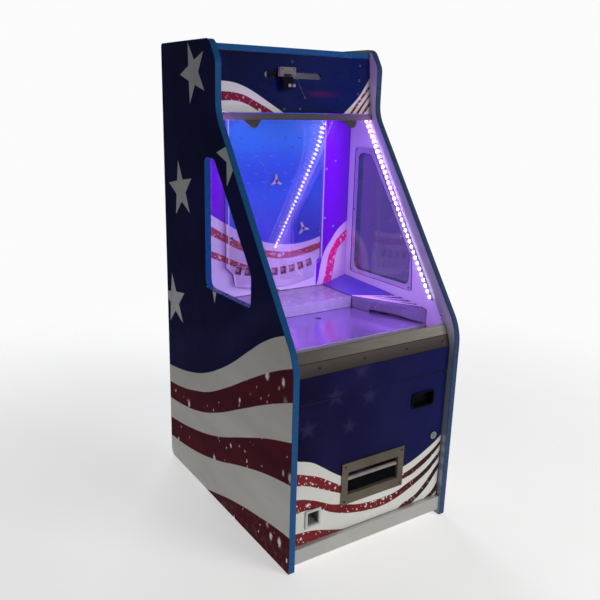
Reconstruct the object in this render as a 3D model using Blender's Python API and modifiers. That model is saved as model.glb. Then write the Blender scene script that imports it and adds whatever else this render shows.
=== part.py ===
"""Single-player coin pusher amusement machine.

Frame: origin on the floor at the centre of the footprint, +X to the machine's right as the player
sees it, the player stands on the -Y side, +Z up. Metres.
"""

import math

import bmesh
import bpy
from mathutils import Matrix, Vector

# ------------------------------------------------------------------ driving dimensions
WIDTH = 0.620
DEPTH = 0.8516
HEIGHT = 1.500
PANEL = 0.020            # side panel thickness
TRIM = 0.0025            # edge trim thickness
GAP = 0.0003             # between touching pieces
FRONT = -DEPTH / 2
REAR = DEPTH / 2
INNER = WIDTH / 2 - PANEL     # inner face of a side panel
SPAN = INNER - 0.0003         # half width of what fits between the side panels

SHOULDER_Z = 0.657       # where the upright front turns into the slope
BROW_Y, BROW_Z = 0.029, 1.2914   # where the slope meets the upright marquee

DOOR_FACE = -0.404       # front face of the door and the panels in line with it
DOOR_T = 0.018
DOOR_Z = (0.0705, 0.5155)
HINGE_XY = (-0.2840, -0.4075)

DECK_Z = 0.640           # playfield surface
DECK_FRONT = -0.290
PUSH_TOP = 0.678
PUSH_HALF = 0.187
PUSH_FRONT = -0.020
PUSH_REAR = 0.215
CRANK_XY = (0.0, 0.315)
CRANK_R = 0.040

GLASS_FOOT = (-0.3686, 0.6645)   # front face of the glass, y and z at its foot
GLASS_SLOPE = 0.697              # dy per dz
GLASS_T = 0.005

MARQUEE_FOOT = (0.0551, 1.2932)
MARQUEE_HEAD = (0.0752, 1.4692)
MARQUEE_T = 0.012
SLOT_Z = 1.4065
SLOT_X = (-0.122, 0.094)
SLOT_H = 0.020
INLET_X = -0.046

BOARD_MID = -0.0275      # centre of the pin field
BOARD_HALF = 0.1875
BOARD_TOP = 1.300
ARC_R = 0.555
BOARD_Y = 0.1465
PIN_PITCH_X = 0.0560
PIN_PITCH_Z = 0.0286
PIN_TOP = (0.0045, 1.2095)
SPINNERS = {"spinner_upper": (-0.0310, 1.0695, 0.0), "spinner_lower": (0.0815, 0.9010, 0.35)}

LOCK_XZ = (0.2480, 0.3000)
OUTLET_OUT = (-0.117, 0.157, 0.125, 0.296)
OUTLET_IN = (-0.094, 0.189, 0.102, 0.264)

# ------------------------------------------------------------------ scene and helpers
for thing in list(bpy.data.objects):
    bpy.data.objects.remove(thing, do_unlink=True)

parts = bpy.data.collections.new("coin_pusher")
cutters = bpy.data.collections.new("cutters")
bpy.context.scene.collection.children.link(parts)
bpy.context.scene.collection.children.link(cutters)

MATERIALS = {}


def material(name, colour, rough=0.5, metal=0.0, alpha=1.0):
    if name not in MATERIALS:
        made = bpy.data.materials.new(name)
        made.use_nodes = True
        shader = made.node_tree.nodes["Principled BSDF"]
        shader.inputs["Base Color"].default_value = (*colour, 1)
        shader.inputs["Roughness"].default_value = rough
        shader.inputs["Metallic"].default_value = metal
        shader.inputs["Alpha"].default_value = alpha
        MATERIALS[name] = made
    return MATERIALS[name]


NAVY = material("navy_print", (0.010, 0.010, 0.055), 0.35)
BLUE = material("blue_trim", (0.012, 0.115, 0.33), 0.4)
WHITE = material("white_laminate", (0.80, 0.78, 0.85), 0.45)
PLY = material("plywood", (0.55, 0.40, 0.24), 0.7)
STEEL = material("satin_steel", (0.45, 0.44, 0.42), 0.35, 1.0)
CHROME = material("chrome", (0.80, 0.80, 0.82), 0.12, 1.0)
BLACK = material("black_plastic", (0.015, 0.015, 0.017), 0.45)
CLEAR = material("clear_acrylic", (0.92, 0.94, 0.97), 0.05, 0.0, 0.3)
GLASS = material("safety_glass", (0.90, 0.95, 0.94), 0.03, 0.0, 0.25)
SHELF = material("blue_sheet", (0.05, 0.06, 0.45), 0.25)
LED = material("led_white", (0.95, 0.93, 1.0), 0.3)
GREY = material("grey_metal", (0.32, 0.32, 0.33), 0.5, 0.8)
LILAC = material("kick_aluminium", (0.50, 0.49, 0.55), 0.45, 0.7)
LENS = material("red_lens", (0.28, 0.03, 0.06), 0.2)
FIELD = material("field_print", (0.03, 0.05, 0.45), 0.25)
WHITE_METAL = material("white_metal", (0.75, 0.76, 0.74), 0.35, 0.4)


def place(obj, mat, cutter=False):
    (cutters if cutter else parts).objects.link(obj)
    if cutter:
        obj.hide_render = True
        obj.display_type = "WIRE"
    elif mat is not None:
        obj.data.materials.append(mat)
    return obj


def box(name, low, high, mat=None, cutter=False, bevel=0.0):
    """Box between two corners."""
    low, high = Vector(low), Vector(high)
    bm = bmesh.new()
    bmesh.ops.create_cube(bm, size=1.0)
    bmesh.ops.scale(bm, vec=high - low, verts=bm.verts)
    mesh = bpy.data.meshes.new(name)
    bm.to_mesh(mesh)
    bm.free()
    obj = bpy.data.objects.new(name, mesh)
    obj.location = (low + high) / 2
    place(obj, mat, cutter)
    if bevel:
        add_bevel(obj, bevel)
    return obj


def add_bevel(obj, width, segments=2, angle=0.6):
    mod = obj.modifiers.new("edges", "BEVEL")
    mod.width = width
    mod.segments = segments
    mod.limit_method = "ANGLE"
    mod.angle_limit = angle
    return mod


def rod(name, start, end, radius, mat=None, cutter=False, sides=16, end_radius=None):
    """Round bar between two points."""
    start, end = Vector(start), Vector(end)
    along = end - start
    bm = bmesh.new()
    bmesh.ops.create_cone(
        bm, cap_ends=True, cap_tris=False, segments=sides,
        radius1=radius, radius2=radius if end_radius is None else end_radius, depth=along.length,
    )
    mesh = bpy.data.meshes.new(name)
    bm.to_mesh(mesh)
    bm.free()
    mesh.shade_smooth()
    mesh.set_sharp_from_angle(angle=0.6)
    obj = bpy.data.objects.new(name, mesh)
    obj.rotation_mode = "QUATERNION"
    obj.rotation_quaternion = along.to_track_quat("Z", "Y")
    obj.location = (start + end) / 2
    return place(obj, mat, cutter)


def outline(name, loops, low, high, plane, mat=None):
    """Flat piece: closed loops (the first outer, the rest holes) given thickness from low to high.

    plane "YZ" reads each point as (y, z) and thickens along X; "XZ" thickens along Y; "XY" along Z.
    """
    curve = bpy.data.curves.new(name, "CURVE")
    curve.dimensions = "2D"
    curve.fill_mode = "BOTH"
    curve.extrude = (high - low) / 2
    for loop in loops:
        spline = curve.splines.new("POLY")
        spline.points.add(len(loop) - 1)
        for point, (u, v) in zip(spline.points, loop):
            point.co = (u, v, 0, 1)
        spline.use_cyclic_u = True
    obj = bpy.data.objects.new(name, curve)
    middle = (low + high) / 2
    if plane == "YZ":
        obj.rotation_euler = (math.pi / 2, 0, math.pi / 2)
        obj.location = (middle, 0, 0)
    elif plane == "XZ":
        obj.rotation_euler = (math.pi / 2, 0, 0)
        obj.location = (0, middle, 0)
    else:
        obj.location = (0, 0, middle)
    return place(obj, mat)


def as_mesh(obj, cutter=False, mat=None):
    """The curve made a mesh, with its caps welded to its sides."""
    bpy.context.view_layer.update()
    evaluated = obj.evaluated_get(bpy.context.evaluated_depsgraph_get())
    mesh = bpy.data.meshes.new_from_object(evaluated)
    matrix = obj.matrix_world.copy()
    name = obj.name
    bpy.data.objects.remove(obj, do_unlink=True)
    bm = bmesh.new()
    bm.from_mesh(mesh)
    bmesh.ops.remove_doubles(bm, verts=bm.verts, dist=1e-6)
    bmesh.ops.recalc_face_normals(bm, faces=bm.faces)
    bm.to_mesh(mesh)
    bm.free()
    made = bpy.data.objects.new(name, mesh)
    made.matrix_world = matrix
    mesh.materials.clear()
    return place(made, mat, cutter)


def combine(obj, other, how):
    mod = obj.modifiers.new(other.name, "BOOLEAN")
    mod.operation = how
    mod.object = other
    return obj


def cut(obj, other):
    return combine(obj, other, "DIFFERENCE")


def join(obj, other):
    return combine(obj, other, "UNION")


def sheet(name, points, faces, thickness, mat, even=True):
    """Folded sheet metal: an open surface given thickness on the side away from its normals."""
    bm = bmesh.new()
    verts = [bm.verts.new(p) for p in points]
    for face in faces:
        bm.faces.new([verts[i] for i in face])
    bmesh.ops.recalc_face_normals(bm, faces=bm.faces)
    if max(bm.faces, key=lambda f: f.calc_area()).normal.z < 0:
        bmesh.ops.reverse_faces(bm, faces=bm.faces)
    mesh = bpy.data.meshes.new(name)
    bm.to_mesh(mesh)
    bm.free()
    obj = bpy.data.objects.new(name, mesh)
    place(obj, mat)
    mod = obj.modifiers.new("thickness", "SOLIDIFY")
    mod.thickness = thickness
    mod.offset = -1.0
    mod.use_even_offset = even
    return obj


def cross(a, b):
    return a[0] * b[1] - a[1] * b[0]


def unit(a, b):
    d = (b[0] - a[0], b[1] - a[1])
    n = math.hypot(*d)
    return (d[0] / n, d[1] / n)


def fillet(before, corner, after, radius, steps=6):
    """Points of the arc that rounds a corner."""
    if radius <= 0:
        return [corner]
    u, v = unit(corner, before), unit(corner, after)
    angle = math.acos(max(-1, min(1, u[0] * v[0] + u[1] * v[1])))
    reach = radius / math.tan(angle / 2)
    mid = (u[0] + v[0], u[1] + v[1])
    n = math.hypot(*mid)
    centre = (corner[0] + mid[0] / n * radius / math.sin(angle / 2),
              corner[1] + mid[1] / n * radius / math.sin(angle / 2))
    a = (corner[0] + u[0] * reach, corner[1] + u[1] * reach)
    b = (corner[0] + v[0] * reach, corner[1] + v[1] * reach)
    t0 = math.atan2(a[1] - centre[1], a[0] - centre[0])
    t1 = math.atan2(b[1] - centre[1], b[0] - centre[0])
    turn = (t1 - t0 + math.pi) % (2 * math.pi) - math.pi
    return [(centre[0] + radius * math.cos(t0 + turn * k / steps),
             centre[1] + radius * math.sin(t0 + turn * k / steps)) for k in range(steps + 1)]


def rounded(corners, radii, closed=True, steps=6):
    count = len(corners)
    out = []
    for i, corner in enumerate(corners):
        if not closed and i in (0, count - 1):
            out.append(corner)
        else:
            out += fillet(corners[i - 1], corner, corners[(i + 1) % count], radii[i], steps)
    return out


def inset(corners, radii, distances):
    """A closed outline moved inwards edge by edge, with its corner radii kept concentric."""
    count = len(corners)
    area = sum(cross(corners[i], corners[(i + 1) % count]) for i in range(count))
    side = 1 if area > 0 else -1
    lines = []
    for i in range(count):
        a, b = corners[i], corners[(i + 1) % count]
        d = unit(a, b)
        n = (-d[1] * side, d[0] * side)
        lines.append(((a[0] + n[0] * distances[i], a[1] + n[1] * distances[i]), d))
    moved, new_radii = [], []
    for i in range(count):
        (p, d), (q, e) = lines[i - 1], lines[i]
        t = cross((q[0] - p[0], q[1] - p[1]), e) / cross(d, e)
        moved.append((p[0] + d[0] * t, p[1] + d[1] * t))
        convex = cross(d, e) * side > 0
        change = (distances[i - 1] + distances[i]) / 2
        new_radii.append(0 if radii[i] <= 0 else max(0.0005, radii[i] + (-change if convex else change)))
    return moved, new_radii


def rect(x0, z0, x1, z1, radius=0.0, steps=4):
    return rounded([(x0, z0), (x1, z0), (x1, z1), (x0, z1)], [radius] * 4, steps=steps)


def circle(x, z, radius, sides=20):
    return [(x + radius * math.cos(2 * math.pi * k / sides), z + radius * math.sin(2 * math.pi * k / sides))
            for k in range(sides)]


# ------------------------------------------------------------------ side panels, trims and windows
SIDE = [(FRONT, 0), (FRONT, SHOULDER_Z), (BROW_Y, BROW_Z), (0.028, 1.440), (0.068, HEIGHT),
        (REAR, HEIGHT), (REAR, 0.020), (REAR - 0.014, 0)]
SIDE_R = [0, 0.16, 0.11, 0.04, 0.04, 0.012, 0, 0]
EDGE = TRIM + GAP
panel_corners, panel_radii = inset(SIDE, SIDE_R, [EDGE, EDGE, EDGE, EDGE, EDGE, EDGE, 0, 0])
panel_loop = rounded(panel_corners, panel_radii)
trim_corners, trim_radii = inset(SIDE, SIDE_R, [TRIM] * 6 + [0, 0])
trim_outer = rounded([(FRONT, 0.003)] + SIDE[1:6] + [(REAR, 0.020)], [0] + SIDE_R[1:6] + [0], closed=False)
trim_inner = rounded([(FRONT + TRIM, 0.003)] + trim_corners[1:6] + [(REAR - TRIM, 0.020)],
                     [0] + trim_radii[1:6] + [0], closed=False)
trim_loop = trim_outer + trim_inner[::-1]

WINDOW = [(0.108, 0.742), (0.108, 1.160), (0.040, 1.160), (-0.192, 0.850), (-0.192, 0.748)]
WINDOW_R = [0.03, 0.02, 0.03, 0.05, 0.02]
window_loop = rounded(WINDOW, WINDOW_R, steps=4)
ring_outer = rounded(*inset(WINDOW, WINDOW_R, [GAP] * 5), steps=4)
ring_inner = rounded(*inset(WINDOW, WINDOW_R, [GAP + TRIM] * 5), steps=4)
pane_loop = rounded([(0.125, 0.7285), (0.125, 1.178), (0.028, 1.178), (-0.2005, 0.865), (-0.2115, 0.7305)],
                    [0.008] * 5, steps=3)

LED_LOW, LED_HIGH, LED_HALF = (-0.3125, 0.7253), (0.0730, 1.2790), 0.004
led_dir = unit(LED_LOW, LED_HIGH)
led_n = (-led_dir[1] * LED_HALF, led_dir[0] * LED_HALF)
led_loop = [(LED_LOW[0] + led_n[0], LED_LOW[1] + led_n[1]), (LED_HIGH[0] + led_n[0], LED_HIGH[1] + led_n[1]),
            (LED_HIGH[0] - led_n[0], LED_HIGH[1] - led_n[1]), (LED_LOW[0] - led_n[0], LED_LOW[1] - led_n[1])]


def between(side, near, far):
    """Low and high X of a slice measured outwards from the middle, on one side."""
    return (near, far) if side > 0 else (-far, -near)


for side, tag in ((-1, "left"), (1, "right")):
    outline(f"side_panel_{tag}", [panel_loop, window_loop], *between(side, INNER, WIDTH / 2), "YZ", NAVY)
    outline(f"edge_trim_{tag}", [trim_loop], *between(side, INNER, WIDTH / 2), "YZ", BLUE)
    outline(f"window_trim_{tag}", [ring_outer, ring_inner], *between(side, INNER, WIDTH / 2), "YZ", BLUE)
    outline(f"side_window_{tag}", [pane_loop], *between(side, INNER - 0.0033, INNER - GAP), "YZ", CLEAR)
    outline(f"led_strip_{tag}", [led_loop], *between(side, INNER - 0.0028, INNER - GAP), "YZ", LED)

# ------------------------------------------------------------------ cabinet boards
box("base_panel", (-SPAN, -0.398, 0.030), (SPAN, 0.4040, 0.048), PLY)
box("top_panel", (-SPAN, 0.0905, 1.470), (SPAN, 0.4228, 1.488), NAVY)
outline("back_panel", [rect(-SPAN, 0.030, SPAN, 1.4695),
                       rect(-0.205, 0.0900, -0.120, 0.1400),
                       rect(0.080, 1.300, 0.200, 1.308), rect(0.080, 1.325, 0.200, 1.333),
                       rect(-0.200, 1.300, -0.080, 1.308), rect(-0.200, 1.325, -0.080, 1.333)],
        0.4045, 0.4225, "XZ", PLY)
box("kick_plate", (-SPAN, -0.417, 0.019), (SPAN, -0.3985, 0.068), LILAC, bevel=0.001)
box("front_upper_panel", (-SPAN, DOOR_FACE, 0.5195), (SPAN, DOOR_FACE + DOOR_T, 0.5975), NAVY, bevel=0.0008)
outline("steel_rail", [[(-0.404, 0.600), (-0.3906, 0.635), (-0.378, 0.6645), (-0.3735, 0.6645),
                        (-0.3883, 0.634), (-0.4012, 0.6024), (-0.386, 0.6024), (-0.386, 0.600)]],
        -SPAN, SPAN, "YZ", STEEL)

# ------------------------------------------------------------------ marquee
lean = math.atan2(MARQUEE_HEAD[0] - MARQUEE_FOOT[0], MARQUEE_HEAD[1] - MARQUEE_FOOT[1])
length = math.hypot(MARQUEE_HEAD[0] - MARQUEE_FOOT[0], MARQUEE_HEAD[1] - MARQUEE_FOOT[1])
slot_v = (SLOT_Z - MARQUEE_FOOT[1]) / math.cos(lean)
slot_left = [(SLOT_X[0] + SLOT_H / 2 - SLOT_H / 2 * math.sin(a), slot_v + SLOT_H / 2 * math.cos(a))
             for a in (math.pi * k / 8 for k in range(9))]
slot_loop = slot_left + [(SLOT_X[1] - 0.012, slot_v - SLOT_H / 2), (SLOT_X[1], slot_v),
                         (SLOT_X[1] - 0.012, slot_v + SLOT_H / 2)]
marquee = outline("marquee_panel", [rect(-SPAN, 0, SPAN, length), slot_loop], 0, MARQUEE_T, "XZ", NAVY)
marquee.rotation_euler = (math.pi / 2 - lean, 0, 0)
half = MARQUEE_T / 2
marquee.location = (0, MARQUEE_FOOT[0] + half * math.cos(lean), MARQUEE_FOOT[1] - half * math.sin(lean))
box("marquee_trim", (-SPAN, 0.0745, 1.4705), (SPAN, 0.0900, 1.4880), BLUE, bevel=0.002)


def glass_y(z, behind=0.0):
    """Y of the glass front face at height z, moved back square to the glass by behind."""
    return GLASS_FOOT[0] + (z - GLASS_FOOT[1]) * GLASS_SLOPE + behind * math.hypot(1, GLASS_SLOPE)


channel = box("glass_channel", (-SPAN, 0.0470, 1.2710), (SPAN, 0.0520, 1.2905), GREY)
for number, (x0, x1) in enumerate(((-0.2085, -0.1400), (0.1690, 0.2320))):
    middle = (x0 + x1) / 2
    reach = (x1 - x0) / 2
    tab = as_mesh(outline(
        f"channel_tab_{number}",
        [[(x0, 0.012), (x0, 0.0), (x0 + 0.004, -0.004), (middle - 0.017, -0.018), (middle - 0.010, -0.0265),
          (middle, -0.0290), (middle + 0.010, -0.0265), (middle + 0.017, -0.018), (x1 - 0.004, -0.004),
          (x1, 0.0), (x1, 0.012)]],
        -0.00125, 0.00125, "XZ"), cutter=True)
    tilt = math.atan(GLASS_SLOPE)
    tab.rotation_euler = (math.pi / 2 - tilt, 0, 0)
    tab.location = (0, glass_y(1.2710, -0.0019), 1.2710)
    join(channel, tab)

glass = outline("front_glass", [[(glass_y(0.6600), 0.6600), (glass_y(1.2680), 1.2680),
                                 (glass_y(1.2680, GLASS_T), 1.2680), (glass_y(0.6600, GLASS_T), 0.6600)]],
                -0.2868, 0.2868, "YZ", GLASS)

# ------------------------------------------------------------------ pin field
def arc_z(x, low):
    """Height of the smile-shaped arc through (BOARD_MID, low)."""
    return low + ARC_R - math.sqrt(ARC_R ** 2 - (x - BOARD_MID) ** 2)


def field_loop(margin=0.0):
    right = BOARD_MID + BOARD_HALF - margin
    steps = 12
    reach = 0.155 - margin
    bottom = [(BOARD_MID - reach + 2 * reach * k / steps, 0) for k in range(steps + 1)]
    bottom = [(x, arc_z(x, 0.7007) + margin) for x, _ in bottom]
    left = BOARD_MID - BOARD_HALF + margin
    return ([(left, BOARD_TOP - margin), (left, 0.790), (left + 0.026, 0.764)] + bottom +
            [(right - 0.026, 0.764), (right, 0.790), (right, BOARD_TOP - margin)])


def windows(width, height):
    """Openings of the indicator row, each square to the arc."""
    loops = []
    for k in range(-4, 5):
        x = BOARD_MID + 0.0355 * k
        z = arc_z(x, 0.7560)
        turn = math.asin((x - BOARD_MID) / ARC_R)
        c, s = math.cos(turn), math.sin(turn)
        loops.append([(x + u * c - v * s, z + u * s + v * c) for u, v in
                      ((-width / 2, -height / 2), (width / 2, -height / 2), (width / 2, height / 2), (-width / 2, height / 2))])
    return loops


outline("pin_board", [field_loop()] + windows(0.0255, 0.0290), BOARD_Y, BOARD_Y + 0.006, "XZ", PLY)
pin_plate = as_mesh(outline("pin_plate", [field_loop()] + windows(0.0245, 0.0280),
                            BOARD_Y - 0.0015, BOARD_Y - GAP, "XZ"), mat=FIELD)
bm = bmesh.new()


def stud(x, z, radius, sides):
    """A stud standing out of the pin plate towards the player."""
    spin = Matrix.Translation((x, BOARD_Y - 0.0070, z)) @ Matrix.Rotation(math.pi / 2, 4, "X")
    bmesh.ops.create_cone(bm, cap_ends=True, segments=sides, radius1=radius, radius2=radius, depth=0.0120, matrix=spin)


for row in range(7):
    for column in range(-4, 4):
        x = PIN_TOP[0] + PIN_PITCH_X * (column + (0.5 if row % 2 else 0.0))
        z = PIN_TOP[1] - PIN_PITCH_Z * row
        near_spinner = any(math.hypot(x - sx, z - sz) < 0.030 for sx, sz, _ in SPINNERS.values())
        if abs(x - BOARD_MID) < BOARD_HALF - 0.018 and not near_spinner:
            stud(x, z, 0.0018, 6)
for sx, sz, _ in SPINNERS.values():
    stud(sx, sz, 0.0017, 8)
for px, pz in ((-0.203, 1.285), (0.148, 1.285), (-0.203, 0.890), (0.148, 0.890)):
    stud(px, pz, 0.0035, 10)
mesh = bpy.data.meshes.new("studs")
bm.to_mesh(mesh)
bm.free()
join(pin_plate, place(bpy.data.objects.new("studs", mesh), None, cutter=True))

outline("board_cover", [field_loop()], 0.1290, 0.1320, "XZ", CLEAR)
outline("indicator_strip", [[(BOARD_MID - 0.158 + 0.316 * k / 12, arc_z(BOARD_MID - 0.158 + 0.316 * k / 12, 0.7380)) for k in range(13)] +
                            [(BOARD_MID + 0.158 - 0.316 * k / 12, arc_z(BOARD_MID + 0.158 - 0.316 * k / 12, 0.7740)) for k in range(13)]],
        BOARD_Y + 0.0063, BOARD_Y + 0.0093, "XZ", LENS)
box("back_wall", (-SPAN, 0.1600, 0.6800), (SPAN, 0.1720, 1.3500), FIELD)


def rotor(name, x, z, turn):
    """Three-armed spinner that turns on a stud."""
    loop = []
    for arm in range(3):
        base = math.pi / 2 + turn + arm * 2 * math.pi / 3
        for r, off in ((0.0078, -0.62), (0.0225, -0.125), (0.0245, 0.0), (0.0225, 0.125), (0.0078, 0.62)):
            loop.append((x + r * math.cos(base + off), z + r * math.sin(base + off)))
    return outline(name, [loop, circle(x, z, 0.0022, 10)], 0.1350, 0.1415, "XZ", WHITE_METAL)


for name, (x, z, turn) in SPINNERS.items():
    rotor(name, x, z, turn)

# ------------------------------------------------------------------ playfield deck
side_hole = [(0.228, -0.118), (0.283, -0.118), (0.283, -0.264), (0.2795, -0.264)]
outline("playfield_deck", [rect(-0.2885, DECK_FRONT, 0.2885, 0.4000),
                           circle(0.010, -0.074, 0.0125, 20),
                           side_hole, [(-x, y) for x, y in side_hole],
                           circle(*CRANK_XY, 0.0090, 16)],
        DECK_Z - 0.012, DECK_Z, "XY", STEEL)
box("deck_lip", (-0.2885, DECK_FRONT - 0.0025, 0.5850), (0.2885, DECK_FRONT - GAP, 0.6385), WHITE, bevel=0.0004)
for side, tag in ((-1, "left"), (1, "right")):
    low, high = between(side, 0.1890, 0.1990)
    box(f"pusher_guide_{tag}", (low, -0.0090, DECK_Z + GAP), (high, 0.2500, 0.6775), STEEL)

    def point(x, y, z):
        return (side * x, y, z)

    sheet(f"side_shelf_{tag}",
          [point(0.1895, 0.1585, 0.6800), point(0.2885, 0.1585, 0.7080), point(0.2885, -0.1170, 0.6985),
           point(0.1895, -0.0080, 0.6800)],
          [(0, 1, 2, 3)], 0.0015, SHELF)
    wall = [(-0.1215, 0.6965), (-0.1500, 0.6925), (-0.1560, 0.6985), (-0.1900, 0.6915), (-0.1960, 0.6970),
            (-0.2260, 0.6895), (-0.2320, 0.6945), (-0.2580, 0.6875), (-0.2640, 0.6920), (-0.2885, 0.6890)]
    top = [point(0.1905, -0.0125, 0.6795)] + [point(0.2885, y, z) for y, z in wall] + [point(0.206, -0.100, 0.6760)]
    last = len(wall)
    elbow = last + 1
    base = [point(0.1905, -0.0125, 0.6410), point(0.206, -0.100, 0.6410), point(0.206, -0.100, 0.6510),
            point(0.2440, -0.1860, 0.6510), point(0.2885, -0.2885, 0.6410)]
    a_low, d_low, d_slot, m_slot, c_low = range(elbow + 1, elbow + 6)
    faces = [(0, k, k + 1) for k in range(1, last)] + [(0, last, elbow)]
    faces += [(0, elbow, d_slot, d_low, a_low), (elbow, last, c_low, m_slot, d_slot)]
    sheet(f"side_ramp_{tag}", top + base, faces, 0.0012, STEEL, even=False)

# ------------------------------------------------------------------ coin paths under the deck
chute_top = [(-0.283, -0.3725, 0.5780), (0.283, -0.3725, 0.5780), (0.283, -0.2960, 0.5780), (-0.283, -0.2960, 0.5780)]
chute_low = [(-0.090, -0.3600, 0.3050), (0.096, -0.3600, 0.3050), (0.096, -0.3000, 0.3050), (-0.090, -0.3000, 0.3050)]


def loft_tube(name, upper, lower, thickness, mat):
    bm = bmesh.new()
    a = [bm.verts.new(p) for p in upper]
    b = [bm.verts.new(p) for p in lower]
    for k in range(4):
        bm.faces.new((a[k], b[k], b[(k + 1) % 4], a[(k + 1) % 4]))
    bmesh.ops.recalc_face_normals(bm, faces=bm.faces)
    mesh = bpy.data.meshes.new(name)
    bm.to_mesh(mesh)
    bm.free()
    obj = place(bpy.data.objects.new(name, mesh), mat)
    mod = obj.modifiers.new("thickness", "SOLIDIFY")
    mod.thickness = thickness
    mod.offset = 0.0
    return obj


loft_tube("drop_chute", chute_top, chute_low, 0.0012, STEEL)
tray_out = box("payout_tray", (-0.1020, -0.3650, 0.1700), (0.1080, -0.2900, 0.2950), STEEL)
tray_cut = as_mesh(outline("tray_cut", [[(-0.3800, 0.1830), (-0.2920, 0.2130), (-0.2920, 0.3100), (-0.3800, 0.3100)]],
                           -0.1000, 0.1060, "YZ"), cutter=True)
cut(tray_out, tray_cut)
bin_out = box("coin_box", (-0.2860, -0.2700, 0.0485), (0.2860, 0.0200, 0.3000), GREY)
cut(bin_out, box("bin_cut", (-0.2835, -0.2675, 0.0510), (0.2835, 0.0175, 0.3200), cutter=True))

# ------------------------------------------------------------------ pusher and its drive
pusher = box("pusher_plate", (-PUSH_HALF, PUSH_FRONT, DECK_Z + 0.0008), (PUSH_HALF, PUSH_REAR, PUSH_TOP), WHITE_METAL)
cut(pusher, box("pusher_hollow", (-PUSH_HALF + 0.002, PUSH_FRONT + 0.002, DECK_Z - 0.01),
                (PUSH_HALF - 0.002, PUSH_REAR + 0.01, PUSH_TOP - 0.002), cutter=True))
cx, cy = CRANK_XY
outline("pusher_yoke", [rect(-0.055, 0.1500, 0.055, cy + 0.030, 0.006),
                        rect(0.0085, cy - 0.0085, 0.0515, cy + 0.0085, 0.0020)],
        0.6700, 0.6755, "XY", STEEL)
crank = rod("crank_disc", (cx, cy, 0.6435), (cx, cy, 0.6515), 0.052, STEEL, sides=32)
join(crank, rod("crank_shaft", (cx, cy, 0.6000), (cx, cy, 0.6450), 0.006, cutter=True, sides=12))
join(crank, rod("crank_pin", (cx + CRANK_R, cy, 0.6500), (cx + CRANK_R, cy, 0.6740), 0.006, cutter=True, sides=16))
motor = box("drive_motor", (cx - 0.045, cy - 0.045, 0.5600), (cx + 0.045, cy + 0.045, DECK_Z - 0.0125), GREY)
join(motor, rod("motor_can", (cx + 0.005, cy, 0.4600), (cx + 0.005, cy, 0.5650), 0.034, cutter=True, sides=24))
cut(motor, rod("motor_bore", (cx, cy, 0.5970), (cx, cy, 0.6400), 0.0068, cutter=True, sides=16))

# ------------------------------------------------------------------ coin inlet in the marquee
inlet = box("coin_inlet", (INLET_X - 0.029, 0.0530, 1.4025), (INLET_X + 0.029, 0.0665, 1.4300), STEEL)
join(inlet, box("inlet_neck", (INLET_X - 0.017, 0.0600, 1.4005), (INLET_X + 0.017, 0.0870, 1.4120), cutter=True))
cut(inlet, box("coin_slot", (INLET_X - 0.014, 0.0400, 1.4045), (INLET_X + 0.014, 0.1000, 1.4082), cutter=True))
carriage = box("inlet_carriage", (INLET_X - 0.024, 0.0875, 1.3850), (INLET_X + 0.024, 0.1470, 1.4450), BLACK)
cut(carriage, box("coin_run", (INLET_X - 0.014, 0.0800, 1.4045), (INLET_X + 0.014, 0.1420, 1.4082), cutter=True))
cut(carriage, box("coin_fall", (INLET_X - 0.014, 0.1360, 1.3700), (INLET_X + 0.014, 0.1420, 1.4060), cutter=True))
cut(carriage, rod("rod_bore", (INLET_X - 0.04, 0.1150, 1.4320), (INLET_X + 0.04, 0.1150, 1.4320), 0.0046, cutter=True, sides=16))
rod("inlet_guide_rod", (-SPAN, 0.1150, 1.4320), (SPAN, 0.1150, 1.4320), 0.0040, CHROME, sides=12)
box("inlet_grip", (INLET_X - 0.022, 0.0360, 1.3620), (INLET_X + 0.010, 0.0595, 1.4020), BLACK, bevel=0.003)

# ------------------------------------------------------------------ front door and what it carries
door_left = HINGE_XY[0] + 0.0040
pull = (0.1430, 0.4120, 0.2380, 0.4660)
cup = (-0.2450, 0.1190, -0.1890, 0.1790)
outline("front_door", [rect(door_left, DOOR_Z[0], 0.2865, DOOR_Z[1]),
                       rect(OUTLET_IN[0] - 0.0065, OUTLET_IN[1] - 0.0065, OUTLET_IN[2] + 0.0065, OUTLET_IN[3] + 0.0065),
                       rect(pull[0] + 0.003, pull[1] + 0.003, pull[2] - 0.003, pull[3] - 0.003),
                       rect(cup[0] + 0.006, cup[1] + 0.006, cup[2] - 0.006, cup[3] - 0.006),
                       circle(*LOCK_XZ, 0.0095, 16)],
        DOOR_FACE, DOOR_FACE + DOOR_T, "XZ", NAVY)
frame = box("outlet_frame", (OUTLET_OUT[0], DOOR_FACE - 0.0045, OUTLET_OUT[1]),
            (OUTLET_OUT[2], DOOR_FACE - GAP, OUTLET_OUT[3]), STEEL)
join(frame, box("frame_sleeve", (OUTLET_IN[0] - 0.006, DOOR_FACE - 0.002, OUTLET_IN[1] - 0.006),
                (OUTLET_IN[2] + 0.006, -0.3720, OUTLET_IN[3] + 0.006), cutter=True))
cut(frame, box("frame_hole", (OUTLET_IN[0], -0.4200, OUTLET_IN[1]), (OUTLET_IN[2], -0.3600, OUTLET_IN[3]), cutter=True))
flap = box("outlet_flap", (OUTLET_IN[0] + 0.0035, -0.3990, 0.1925), (OUTLET_IN[2] - 0.0035, -0.3970, 0.2350), BLACK)
join(flap, rod("flap_rod", (OUTLET_IN[0] + 0.0008, -0.3980, 0.2385), (OUTLET_IN[2] - 0.0008, -0.3980, 0.2385), 0.0062,
               cutter=True, sides=16))
grip = as_mesh(outline("door_pull", [rect(*pull, 0.0120, 5)], DOOR_FACE - 0.0030, DOOR_FACE - GAP, "XZ"), mat=BLACK)
join(grip, box("pull_cup", (pull[0] + 0.0035, DOOR_FACE - 0.001, pull[1] + 0.0035),
               (pull[2] - 0.0035, -0.3835, pull[3] - 0.0035), cutter=True))
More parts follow.
